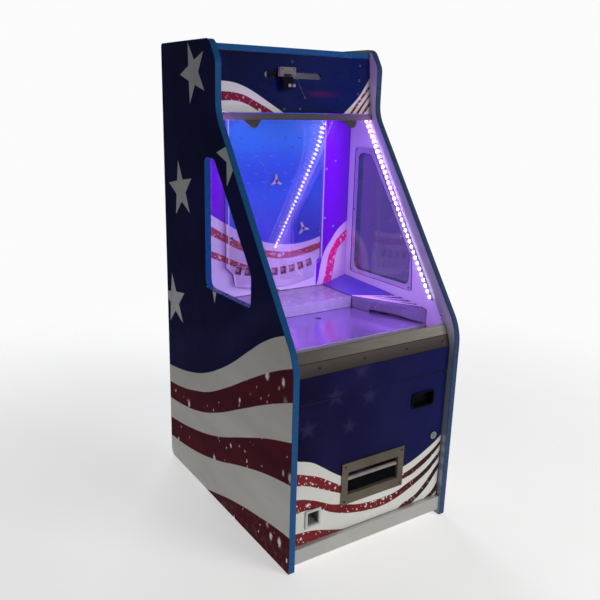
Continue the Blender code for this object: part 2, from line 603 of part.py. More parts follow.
cut(grip, box("pull_hollow", (pull[0] + 0.006, -0.4200, pull[1] + 0.006), (pull[2] - 0.006, -0.3860, pull[3] - 0.006),
              cutter=True))
reject = box("return_cup", (cup[0], DOOR_FACE - 0.0040, cup[1]), (cup[2], DOOR_FACE - GAP, cup[3]), WHITE_METAL)
join(reject, box("cup_body", (cup[0] + 0.0065, DOOR_FACE - 0.001, cup[1] + 0.0065),
                 (cup[2] - 0.0065, -0.3740, cup[3] - 0.0065), cutter=True))
cup_cut = as_mesh(outline("cup_hollow", [[(-0.4200, cup[1] + 0.0085), (DOOR_FACE, cup[1] + 0.0085), (-0.3760, cup[1] + 0.0250),
                                          (-0.3760, cup[3] - 0.0085), (-0.4200, cup[3] - 0.0085)]],
                          cup[0] + 0.0085, cup[2] - 0.0085, "YZ"), cutter=True)
cut(reject, cup_cut)
lx, lz = LOCK_XZ
housing = rod("lock_housing", (lx, DOOR_FACE - GAP, lz), (lx, DOOR_FACE - 0.0035, lz), 0.0130, CHROME, sides=24)
join(housing, rod("lock_barrel", (lx, DOOR_FACE - 0.001, lz), (lx, -0.3700, lz), 0.0090, cutter=True, sides=24))
cut(housing, rod("lock_bore", (lx, -0.4200, lz), (lx, -0.3600, lz), 0.0068, cutter=True, sides=20))
plug = rod("lock_plug", (lx, -0.4085, lz), (lx, -0.3630, lz), 0.0063, CHROME, sides=20)
join(plug, box("lock_cam", (lx - 0.006, -0.3670, lz - 0.0340), (lx + 0.006, -0.3645, lz + 0.004), cutter=True))
box("door_strike", (0.2660, -0.3855, 0.1000), (SPAN, -0.3690, 0.5000), PLY)

# Piano hinge: five knuckles on one pin, three on the cabinet's leaf and two on the door's.
hx, hy = HINGE_XY
h0, h1 = 0.1000, 0.4900
step = (h1 - h0) / 5
fixed = box("hinge_cabinet_leaf", (-SPAN, hy - 0.0140, h0), (-SPAN + 0.0014, hy + 0.0010, h1), STEEL)
moving = box("hinge_door_leaf", (door_left + 0.0010, DOOR_FACE - 0.0017, h0 + step), (door_left + 0.0180, DOOR_FACE - GAP, h1 - step), STEEL)
for k in range(5):
    z0, z1 = h0 + k * step + 0.0006, h0 + (k + 1) * step - 0.0006
    if k % 2 == 0:
        join(fixed, rod(f"knuckle_{k}", (hx, hy, z0), (hx, hy, z1), 0.0031, cutter=True, sides=12))
        join(fixed, box(f"web_{k}", (-SPAN + 0.0008, hy - 0.0010, z0 + 0.0005), (hx, hy + 0.0010, z1 - 0.0005), cutter=True))
    else:
        join(moving, rod(f"knuckle_{k}", (hx, hy, z0), (hx, hy, z1), 0.0031, cutter=True, sides=12))
        join(moving, box(f"web_{k}", (hx, DOOR_FACE - 0.0032, z0 + 0.0005), (door_left + 0.0030, DOOR_FACE - 0.0008, z1 - 0.0005), cutter=True))
cut(moving, rod("pin_bore", (hx, hy, h0 - 0.01), (hx, hy, h1 + 0.01), 0.0021, cutter=True, sides=12))
join(fixed, rod("hinge_pin", (hx, hy, h0 + 0.001), (hx, hy, h1 - 0.001), 0.0015, cutter=True, sides=10))

# ------------------------------------------------------------------ electrics
box("control_box", (-0.2500, 0.3340, 0.3500), (-0.1200, 0.4040, 0.5000), GREY, bevel=0.002)
box("power_supply", (0.1000, 0.2600, 0.0485), (0.2500, 0.3700, 0.1100), GREY, bevel=0.002)
entry = box("power_inlet", (-0.2120, 0.4228, 0.0830), (-0.1130, 0.4245, 0.1470), BLACK)
join(entry, box("entry_body", (-0.2020, 0.3900, 0.0930), (-0.1230, 0.4235, 0.1370), cutter=True))
cut(entry, box("socket_well", (-0.1990, 0.4000, 0.1020), (-0.1700, 0.4300, 0.1240), cutter=True))
cut(entry, box("switch_well", (-0.1530, 0.4000, 0.1000), (-0.1310, 0.4300, 0.1300), cutter=True))
ROCK_TILT = math.radians(8)
ROCK_YZ = (0.4130, 0.1150)
rock = [(0.4125, 0.1060), (0.4170, 0.1012), (0.4240, 0.1022), (0.4222, 0.1150),
        (0.4240, 0.1278), (0.4170, 0.1288), (0.4125, 0.1240), (0.4080, 0.1180), (0.4080, 0.1120)]
rock = [(ROCK_YZ[0] + (y - ROCK_YZ[0]) * math.cos(ROCK_TILT) - (z - ROCK_YZ[1]) * math.sin(ROCK_TILT),
         ROCK_YZ[1] + (y - ROCK_YZ[0]) * math.sin(ROCK_TILT) + (z - ROCK_YZ[1]) * math.cos(ROCK_TILT)) for y, z in rock]
outline("power_switch", [rock], -0.1520, -0.1320, "YZ", BLACK)
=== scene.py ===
import math

import bmesh
import bpy
from mathutils import Matrix, Vector


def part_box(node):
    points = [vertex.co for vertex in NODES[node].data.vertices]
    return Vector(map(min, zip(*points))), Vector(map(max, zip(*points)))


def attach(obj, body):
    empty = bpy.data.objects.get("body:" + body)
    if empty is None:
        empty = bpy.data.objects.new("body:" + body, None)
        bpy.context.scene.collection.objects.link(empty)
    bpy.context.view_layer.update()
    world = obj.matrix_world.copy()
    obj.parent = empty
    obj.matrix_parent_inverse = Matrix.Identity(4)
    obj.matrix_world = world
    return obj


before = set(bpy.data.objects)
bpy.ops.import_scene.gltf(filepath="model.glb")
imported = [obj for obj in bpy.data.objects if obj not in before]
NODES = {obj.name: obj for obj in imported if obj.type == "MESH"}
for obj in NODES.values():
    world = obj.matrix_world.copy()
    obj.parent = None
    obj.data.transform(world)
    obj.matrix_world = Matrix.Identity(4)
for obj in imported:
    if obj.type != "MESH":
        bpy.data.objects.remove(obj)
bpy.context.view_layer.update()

# ------------------------------------------------------------------ camera
PITCH, ROLL, YAW = math.radians(-16.116), math.radians(-1.54), math.radians(-33.528)
cz, sz = math.cos(YAW), math.sin(YAW)
cp, sp = math.cos(PITCH), math.sin(PITCH)
cr, sr = math.cos(ROLL), math.sin(ROLL)
turn = (Matrix(((cz, -sz, 0), (sz, cz, 0), (0, 0, 1)))
        @ Matrix(((1, 0, 0), (0, cp, -sp), (0, sp, cp)))
        @ Matrix(((cr, 0, sr), (0, 1, 0), (-sr, 0, cr))))
right, forward, up = turn.col[0], turn.col[1], turn.col[2]
lens = bpy.data.cameras.new("camera")
lens.sensor_width = 36
lens.lens = 41.94
lens.clip_start, lens.clip_end = 0.05, 60
camera = bpy.data.objects.new("camera", lens)
bpy.context.scene.collection.objects.link(camera)
place = Matrix((right, up, -forward)).transposed().to_4x4()
place.translation = Vector((-1.2594, -1.8789, 1.3389))
camera.matrix_world = place
bpy.context.scene.camera = camera


# ------------------------------------------------------------------ material nodes
class Mat:
    """A Principled material built from maths on the row frame's own coordinates."""

    def __init__(self, name, **settings):
        self.mat = bpy.data.materials.new(name)
        self.mat.use_nodes = True
        self.tree = self.mat.node_tree
        self.tree.nodes.clear()
        self.out = self.tree.nodes.new("ShaderNodeOutputMaterial")
        self.shader = self.tree.nodes.new("ShaderNodeBsdfPrincipled")
        self.tree.links.new(self.shader.outputs[0], self.out.inputs["Surface"])
        self.at = self.tree.nodes.new("ShaderNodeTexCoord").outputs["Object"]
        self.axes = None
        for key, value in settings.items():
            self.set(key, value)

    def set(self, key, value):
        names = {"color": "Base Color", "rough": "Roughness", "metal": "Metallic", "spec": "Specular IOR Level",
                 "coat": "Coat Weight", "coat_rough": "Coat Roughness", "emit": "Emission Color",
                 "emit_by": "Emission Strength", "clear": "Transmission Weight", "ior": "IOR", "normal": "Normal",
                 "aniso": "Anisotropic", "sub": "Subsurface Weight"}
        self.feed(self.shader.inputs[names.get(key, key)], value)
        return self

    def feed(self, socket, value):
        if isinstance(value, bpy.types.NodeSocket):
            self.tree.links.new(value, socket)
        elif isinstance(value, (tuple, list)) and len(value) == 3 and socket.type == "RGBA":
            socket.default_value = (*value, 1)
        else:
            socket.default_value = value

    def node(self, kind, **inputs):
        made = self.tree.nodes.new(kind)
        for key, value in inputs.items():
            self.feed(made.inputs[key], value)
        return made

    def m(self, op, a, b=0.0, c=0.0, clamp=False):
        made = self.tree.nodes.new("ShaderNodeMath")
        made.operation = op
        made.use_clamp = clamp
        for socket, value in zip(made.inputs, (a, b, c)):
            self.feed(socket, value)
        return made.outputs[0]

    def add(self, a, b): return self.m("ADD", a, b)
    def sub(self, a, b): return self.m("SUBTRACT", a, b)
    def mul(self, a, b): return self.m("MULTIPLY", a, b)
    def high(self, a, b): return self.m("MAXIMUM", a, b)
    def low(self, a, b): return self.m("MINIMUM", a, b)

    def xyz(self):
        if self.axes is None:
            split = self.tree.nodes.new("ShaderNodeSeparateXYZ")
            self.tree.links.new(self.at, split.inputs[0])
            self.axes = split.outputs[0], split.outputs[1], split.outputs[2]
        return self.axes

    def step(self, a, edge, soft=0.0012):
        """1 where a is over edge, with a short soft run across it."""
        return self.m("MULTIPLY_ADD", self.sub(a, edge), 1.0 / soft, 0.5, clamp=True)

    def band(self, a, lo, hi, soft=0.0012):
        return self.mul(self.step(a, lo, soft), self.step(self.mul(a, -1.0), -hi, soft))

    def mix(self, fac, a, b, how="MIX"):
        made = self.tree.nodes.new("ShaderNodeMix")
        made.data_type = "RGBA"
        made.blend_type = how
        self.feed(made.inputs[0], fac)
        self.feed(made.inputs[6], a)
        self.feed(made.inputs[7], b)
        return made.outputs[2]

    def blend(self, fac, a, b):
        made = self.tree.nodes.new("ShaderNodeMix")
        made.data_type = "FLOAT"
        self.feed(made.inputs[0], fac)
        self.feed(made.inputs[2], a)
        self.feed(made.inputs[3], b)
        return made.outputs[0]

    def stretch(self, scale, turn=(0, 0, 0)):
        made = self.tree.nodes.new("ShaderNodeMapping")
        self.tree.links.new(self.at, made.inputs["Vector"])
        made.inputs["Scale"].default_value = scale
        made.inputs["Rotation"].default_value = turn
        return made.outputs[0]

    def noise(self, scale, detail=2.0, rough=0.5, vector=None, distortion=0.0):
        made = self.tree.nodes.new("ShaderNodeTexNoise")
        self.tree.links.new(vector or self.at, made.inputs["Vector"])
        made.inputs["Scale"].default_value = scale
        made.inputs["Detail"].default_value = detail
        made.inputs["Roughness"].default_value = rough
        made.inputs["Distortion"].default_value = distortion
        return made.outputs[0]

    def cells(self, scale, vector=None, feature="F1", randomness=1.0):
        made = self.tree.nodes.new("ShaderNodeTexVoronoi")
        made.feature = feature
        self.tree.links.new(vector or self.at, made.inputs["Vector"])
        made.inputs["Scale"].default_value = scale
        made.inputs["Randomness"].default_value = randomness
        return made

    def remap(self, value, a0, a1, b0=0.0, b1=1.0, smooth=False):
        made = self.tree.nodes.new("ShaderNodeMapRange")
        made.interpolation_type = "SMOOTHSTEP" if smooth else "LINEAR"
        made.clamp = True
        self.feed(made.inputs[0], value)
        for k, x in zip((1, 2, 3, 4), (a0, a1, b0, b1)):
            self.feed(made.inputs[k], x)
        return made.outputs[0]

    def curve(self, a, points, lo, hi, low, high):
        """A smooth height over a, from points (a, height) between lo and hi, with heights between low and high."""
        made = self.tree.nodes.new("ShaderNodeFloatCurve")
        made.mapping.extend = "HORIZONTAL"
        line = made.mapping.curves[0]
        spots = [((p - lo) / (hi - lo), (h - low) / (high - low)) for p, h in points]
        line.points[0].location = spots[0]
        line.points[1].location = spots[-1]
        for spot in spots[1:-1]:
            line.points.new(*spot)
        made.mapping.update()
        self.feed(made.inputs["Value"], self.m("MULTIPLY_ADD", a, 1 / (hi - lo), -lo / (hi - lo)))
        return self.m("MULTIPLY_ADD", made.outputs[0], high - low, low)

    def star(self, a, b, ca, cb, radius, turn, inner=0.40, soft=0.0015):
        """Mask of a five-pointed star in the plane of a and b."""
        u, v = self.sub(a, ca), self.sub(b, cb)
        angle = self.sub(self.m("ARCTAN2", v, u), math.radians(turn) - math.pi / 5)
        angle = self.sub(self.m("FLOORED_MODULO", angle, 2 * math.pi / 5), math.pi / 5)
        angle = self.m("ABSOLUTE", angle)
        r = self.m("SQRT", self.add(self.mul(u, u), self.mul(v, v)))
        px, py = self.mul(r, self.m("COSINE", angle)), self.mul(r, self.m("SINE", angle))
        ix, iy = radius * inner * math.cos(math.pi / 5), radius * inner * math.sin(math.pi / 5)
        size = math.hypot(ix - radius, iy)
        d = self.sub(self.mul(self.sub(px, radius), iy / size), self.mul(py, (ix - radius) / size))
        return self.m("MULTIPLY_ADD", d, -1.0 / soft, 0.5, clamp=True)

    def bump(self, height, strength=0.1, distance=0.001, normal=None):
        made = self.tree.nodes.new("ShaderNodeBump")
        made.inputs["Strength"].default_value = strength
        made.inputs["Distance"].default_value = distance
        self.feed(made.inputs["Height"], height)
        if normal is not None:
            self.tree.links.new(normal, made.inputs["Normal"])
        self.tree.links.new(made.outputs[0], self.shader.inputs["Normal"])
        return made.outputs[0]


def over(t, base, masks):
    """base with each (mask, colour) laid over it in turn."""
    for mask, colour in masks:
        base = t.mix(mask, base, colour)
    return base


def sparkles(t, a, b, sizes=((24.0, 0.08, 0.30, 0.42), (46.0, 0.10, 0.34, 0.40), (85.0, 0.14, 0.36, 0.55))):
    """Soft white specks of mixed size in the plane of a and b, gathered in drifts, each with a blurred halo."""
    total = None
    drift = t.remap(t.noise(8.0, 2.0, 0.5), 0.38, 0.56, 0.55, 1.0)
    wobble = t.mul(t.sub(t.noise(110.0, 1.0), 0.5), 0.012)
    for number, (scale, lo, hi, share) in enumerate(sizes):
        flat = t.tree.nodes.new("ShaderNodeCombineXYZ")
        t.feed(flat.inputs[0], t.add(t.add(a, wobble), 3.1 * number + 1.0))
        t.feed(flat.inputs[1], t.sub(t.add(b, 2.0), wobble))
        cell = t.cells(scale, flat.outputs[0])
        cell.voronoi_dimensions = "2D"
        pick = t.tree.nodes.new("ShaderNodeSeparateColor")
        t.tree.links.new(cell.outputs["Color"], pick.inputs[0])
        reach = t.mul(t.remap(t.m("POWER", pick.outputs[0], 2.0), 0.0, 1.0, lo, hi), drift)
        spot = t.sub(1.0, t.m("DIVIDE", cell.outputs["Distance"], reach))
        core = t.remap(spot, 0.10, 0.45, 0.0, 1.0, smooth=True)
        halo = t.mul(t.remap(spot, -0.3, 0.5, 0.0, 1.0, smooth=True), 0.45)
        spot = t.mul(t.high(core, halo), t.step(pick.outputs[1], share, 0.05))
        total = spot if total is None else t.high(total, spot)
    return total


def bow_normal(t, socket, amount):
    """Tilts a tall sheet's mirror normal sideways, more and more towards its top, as where it bows from its fixings."""
    shape = t.tree.nodes.new("ShaderNodeNewGeometry")
    z = t.xyz()[2]
    turn = t.tree.nodes.new("ShaderNodeCombineXYZ")
    t.feed(turn.inputs[0], t.m("DIVIDE", amount, t.high(t.sub(1.1666, t.mul(z, 0.869)), 0.085)))
    bent = t.tree.nodes.new("ShaderNodeVectorMath")
    bent.operation = "ADD"
    t.tree.links.new(shape.outputs["Normal"], bent.inputs[0])
    t.tree.links.new(turn.outputs[0], bent.inputs[1])
    unit = t.tree.nodes.new("ShaderNodeVectorMath")
    unit.operation = "NORMALIZE"
    t.tree.links.new(bent.outputs[0], unit.inputs[0])
    t.tree.links.new(unit.outputs[0], socket)


def print_finish(t, color, rough=0.26, coat=0.35):
    """The gloss of printed, laminated vinyl: faint waves, dust and smears."""
    smear = t.noise(9.0, 5.0, 0.65, t.stretch((1, 1, 2.2)))
    dust = t.noise(240.0, 3.0, 0.7)
    t.set("rough", t.add(t.remap(smear, 0.3, 0.75, rough, rough + 0.16), t.mul(dust, 0.05)))
    t.set("coat", coat).set("coat_rough", 0.12).set("spec", 0.35)
    waves = t.noise(14.0, 2.0, 0.5)
    fine = t.noise(420.0, 2.0, 0.6)
    t.bump(t.add(t.mul(waves, 1.0), t.mul(fine, 0.03)), 0.22, 0.0016)
    z = t.xyz()[2]
    scuff = t.mul(t.remap(z, 0.0, 0.10, 0.55, 0.0), t.remap(t.noise(38.0, 6.0, 0.75), 0.5, 0.72))
    t.set("color", t.mix(scuff, color, (0.32, 0.30, 0.29)))
    return t


WHITE = (0.80, 0.79, 0.76)
MAROON = (0.150, 0.006, 0.018)
MAROON_DEEP = (0.110, 0.004, 0.020)
NAVY = (0.016, 0.013, 0.085)


def side_print(name):
    """Stars and flowing stripes outside; inside, white laminate tinted violet as painted LED light and darkened below
    the deck as painted shade.
    """
    t = Mat(name)
    x, y, z = t.xyz()
    lo, hi = -0.430, 0.430

    def edge(points):
        return t.curve(y, sorted(points), lo, hi, -0.06, 0.76)

    lines = [
        edge([(.430, .369), (.302, .389), (.210, .411), (.124, .440), (.011, .494), (-.079, .547), (-.184, .619),
              (-.279, .680), (-.366, .720), (-.430, .738)]),
        edge([(.430, .302), (.305, .320), (.200, .347), (.100, .380), (-.022, .439), (-.185, .530), (-.326, .604), (-.430, .648)]),
        edge([(.430, .236), (.309, .250), (.167, .281), (.039, .328), (-.134, .412), (-.284, .486), (-.430, .549)]),
        edge([(.430, .155), (.240, .187), (.040, .242), (-.134, .315), (-.286, .379), (-.430, .428)]),
        edge([(.430, .079), (.243, .102), (.041, .152), (-.135, .215), (-.289, .263), (-.430, .294)]),
        edge([(.430, -.058), (.230, -.030), (.115, .002), (-.078, .060), (-.243, .096), (-.388, .120), (-.430, .123)]),
    ]
    shade = t.remap(t.noise(3.2, 3.0, 0.5), 0.35, 0.7)
    navy = t.mix(shade, (0.002, 0.0018, 0.060), (0.006, 0.006, 0.110))
    glow = t.mul(t.remap(t.m("ABSOLUTE", t.sub(z, t.add(lines[0], 0.085))), 0.0, 0.10, 1.0, 0.0, smooth=True), t.remap(t.noise(5.0, 2.0), 0.35, 0.65, 0.15, 0.65))
    navy = t.mix(glow, navy, (0.018, 0.016, 0.130))
    color = navy
    stars = None
    for cy_, cz_, r_, a_ in ((0.1808, 1.4046, 0.0956, 69.08), (0.2906, 1.0356, 0.0975, 7.9), (0.3646, 0.6348, 0.0972, 7.7),
                             (-0.0727, 1.1772, 0.0970, 0.0), (0.045, 0.765, 0.060, -90.0)):
        one = t.star(y, z, cy_, cz_, r_, a_)
        stars = one if stars is None else t.high(stars, one)
    sheen = t.remap(t.noise(16.0, 3.0, 0.6), 0.3, 0.7)
    grey = t.mix(sheen, (0.62, 0.63, 0.64), (0.74, 0.74, 0.74))
    color = t.mix(stars, color, grey)
    specks = sparkles(t, y, t.mul(z, 0.62), ((11.0, 0.05, 0.20, 0.66), (19.0, 0.07, 0.25, 0.70), (34.0, 0.08, 0.26, 0.84)))
    fold = t.remap(t.noise(7.0, 2.0, 0.5, t.stretch((1, 0.5, 2.0))), 0.35, 0.65)
    red = t.mix(fold, MAROON_DEEP, MAROON)
    red = t.mix(specks, red, (1.0, 0.92, 0.90))
    pale = t.mix(t.remap(t.noise(5.0, 2.0, 0.5, t.stretch((1, 0.5, 2.5))), 0.3, 0.7), (0.66, 0.64, 0.60), (0.76, 0.745, 0.70))
    for k, line in enumerate(lines):
        color = t.mix(t.step(line, z, 0.0022), color, pale if k % 2 == 0 else red)
    # painted light: the inside laminate is tinted violet for the LED light on it
    inside = t.mix(t.remap(t.noise(6.0, 4.0, 0.6), 0.3, 0.75), (0.66, 0.65, 0.72), (0.74, 0.73, 0.80))
    # painted shade: below the deck, from z 0.66 down to 0.56, the inside turns dark
    inside = t.mix(t.remap(z, 0.56, 0.66, 1.0, 0.0), inside, (0.26, 0.29, 0.38))
    outside = t.step(t.m("ABSOLUTE", x), 0.3088, 0.0006)
    color = t.mix(outside, inside, color)
    print_finish(t, color, 0.30, 0.0)
    t.set("spec", 0.15).set("coat_rough", 0.012).set("Coat IOR", 1.8)
    t.set("coat", t.blend(outside, 0.9, 0.03))
    t.set("rough", t.blend(outside, t.remap(t.noise(9.0, 3.0), 0.3, 0.7, 0.04, 0.09), t.remap(t.noise(9.0, 5.0, 0.65), 0.3, 0.75, 0.36, 0.50)))
    return t.mat


def door_print(name):
    """Navy over sweeping stripes on the front, the navy lighter towards the right as painted light, the door's edges
    painted dark as shade, bare white board behind.
    """
    t = Mat(name)
    x, y, z = t.xyz()
    lo, hi = -0.300, 0.300

    def edge(points):
        return t.curve(x, sorted(points), lo, hi, -0.04, 0.42)

    lines = [
        edge([(-.300, .362), (-.275, .351), (-.225, .332), (-.1875, .307), (-.150, .279), (-.105, .250), (-.050, .227), (.005, .214),
              (.060, .210), (.125, .2175), (.175, .232), (.225, .254), (.2625, .2740), (.300, .302)]),
        edge([(-.300, .319), (-.275, .310), (-.244, .2975), (-.200, .279), (-.150, .2475), (-.105, .219), (-.050, .196), (.005, .184),
              (.060, .180), (.125, .191), (.1625, .2006), (.2125, .2225), (.250, .2430), (.300, .284)]),
        edge([(-.300, .280), (-.275, .2725), (-.231, .257), (-.1875, .235), (-.119, .2006), (-.050, .174), (.005, .163), (.060, .162),
              (.125, .1725), (.1625, .179), (.200, .194), (.250, .2225), (.300, .271)]),
        edge([(-.300, .233), (-.275, .2275), (-.231, .213), (-.1875, .1925), (-.150, .1725), (-.106, .159), (-.050, .141), (.000, .134),
              (.050, .132), (.100, .135), (.150, .151), (.200, .169), (.2375, .190), (.269, .216), (.300, .250)]),
        edge([(-.300, .184), (-.275, .182), (-.225, .179), (-.1875, .167), (-.150, .146), (-.100, .126), (-.050, .113), (.000, .105),
              (.050, .1025), (.100, .110), (.150, .126), (.200, .1475), (.244, .1725), (.275, .2006), (.300, .228)]),
        edge([(-.300, .117), (-.275, .113), (-.225, .107), (-.1875, .0975), (-.150, .085), (-.100, .071), (-.050, .064), (.000, .060),
              (.060, .062), (.1125, .069), (.1375, .082), (.1875, .0975), (.225, .1256), (.250, .151), (.269, .1725), (.300, .201)]),
        edge([(-.300, -.030), (.060, -.030), (.130, .020), (.175, .0675), (.2125, .091), (.244, .116), (.266, .142), (.300, .186)]),
        edge([(-.300, -.035), (.150, -.030), (.200, .015), (.231, .0675), (.2625, .088), (.281, .110), (.300, .138)]),
        edge([(-.300, -.038), (.190, -.034), (.235, .015), (.2625, .0675), (.281, .079), (.300, .099)]),
    ]
    # painted light: the navy field grows lighter towards the right, where the key lamp falls
    painted_light_across = t.remap(x, -0.28, 0.28)
    navy = t.mix(painted_light_across, (0.0065, 0.0020, 0.042), (0.008, 0.011, 0.110))
    navy = t.mix(t.remap(t.noise(7.0, 3.0, 0.55), 0.42, 0.72, 0.0, 0.5), navy, (0.018, 0.013, 0.105))
    haze = None
    for cx_, cz_, r_ in ((-.244, .441, .028), (-.150, .522, .030), (-.025, .497, .026), (-.060, .585, .026), (-.095, .415, .022)):
        one = t.star(x, z, cx_, cz_, r_, 90.0, 0.45, 0.014)
        haze = one if haze is None else t.high(haze, one)
    navy = t.mix(t.mul(haze, 0.16), navy, (0.12, 0.10, 0.34))
    specks = sparkles(t, x, z, ((30.0, 0.07, 0.26, 0.62), (52.0, 0.09, 0.32, 0.60), (85.0, 0.14, 0.34, 0.74)))
    fold = t.remap(t.noise(9.0, 2.0, 0.5), 0.35, 0.65)
    redness = t.mix(fold, (0.20, 0.008, 0.013), (0.30, 0.018, 0.026))
    redness = t.mix(t.remap(x, -0.05, 0.22), redness, (0.050, 0.011, 0.010))
    red = t.mix(specks, redness, (0.86, 0.83, 0.80))
    pale = t.mix(t.remap(t.noise(6.0, 2.0, 0.5), 0.3, 0.7), (0.78, 0.78, 0.73), (0.86, 0.86, 0.82))
    color = navy
    for k, line in enumerate(lines):
        color = t.mix(t.step(line, z, 0.0018), color, pale if k % 2 == 0 else red)
    face = t.step(-0.4033, y, 0.0006)
    # painted shade: the edge faces between the front print and the back are a dark colour; the back is bare white board
    inner = t.mix(t.step(y, -0.3870, 0.0006), (0.085, 0.075, 0.13), (0.55, 0.54, 0.53))
    color = t.mix(face, inner, color)
    return print_finish(t, color, 0.30, 0.12).mat


def marquee_print(name):
    t = Mat(name)
    x, y, z = t.xyz()
    lo, hi = -0.300, 0.300

    def edge(points):
        return t.curve(x, sorted(points), lo, hi, 1.20, 1.48)

    lines = [
        edge([(-.300, 1.3835), (-.275, 1.3825), (-.2375, 1.380), (-.200, 1.370), (-.1625, 1.353), (-.119, 1.328), (-.0625, 1.295),
              (-.020, 1.270), (.060, 1.235), (.140, 1.262), (.181, 1.297), (.2125, 1.322), (.244, 1.351), (.266, 1.378), (.300, 1.424)]),
        edge([(-.300, 1.354), (-.275, 1.353), (-.2375, 1.351), (-.200, 1.344), (-.1625, 1.328), (-.106, 1.300), (-.040, 1.258),
              (.060, 1.215), (.160, 1.255), (.205, 1.297), (.225, 1.320), (.250, 1.346), (.300, 1.402)]),
        edge([(-.300, 1.327), (-.275, 1.326), (-.225, 1.326), (-.1875, 1.3156), (-.156, 1.300), (-.080, 1.255), (.060, 1.208),
              (.170, 1.250), (.216, 1.297), (.235, 1.318), (.262, 1.347), (.300, 1.389)]),
        edge([(-.300, 1.262), (-.200, 1.245), (.060, 1.204), (.185, 1.248), (.230, 1.297), (.248, 1.317), (.270, 1.340), (.300, 1.371)]),
        edge([(-.300, 1.240), (-.200, 1.225), (.060, 1.203), (.195, 1.246), (.241, 1.297), (.260, 1.319), (.280, 1.341), (.300, 1.362)]),
        edge([(-.300, 1.235), (-.200, 1.220), (.060, 1.2025), (.210, 1.244), (.255, 1.297), (.272, 1.317), (.300, 1.345)]),
        edge([(-.300, 1.230), (-.200, 1.215), (.060, 1.202), (.225, 1.242), (.267, 1.297), (.283, 1.315), (.300, 1.333)]),
    ]
    # painted light: the navy grows lighter towards the right, where the key lamp falls
    painted_light_across = t.remap(x, -0.25, 0.25)
    navy = t.mix(painted_light_across, (0.004, 0.006, 0.048), (0.003, 0.012, 0.130))
    navy = t.mix(t.remap(t.noise(6.0, 3.0, 0.55), 0.40, 0.75, 0.0, 0.7), navy, (0.012, 0.020, 0.120))
    warm = t.mul(t.remap(t.m("ABSOLUTE", t.sub(z, 1.352)), 0.0, 0.016, 1.0, 0.0, smooth=True), t.mul(t.remap(x, .02, .07), t.remap(x, .10, .17, 1.0, 0.0)))
    navy = t.mix(t.mul(warm, 0.45), navy, (0.16, 0.012, 0.10))
    specks = sparkles(t, x, z)
    red = t.mix(specks, (0.24, 0.012, 0.045), (0.78, 0.70, 0.74))
    color = navy
    for k, line in enumerate(lines):
        color = t.mix(t.step(line, z, 0.0016), color, (0.80, 0.80, 0.80) if k % 2 == 0 else red)
    return print_finish(t, color, 0.22, 0.20).mat


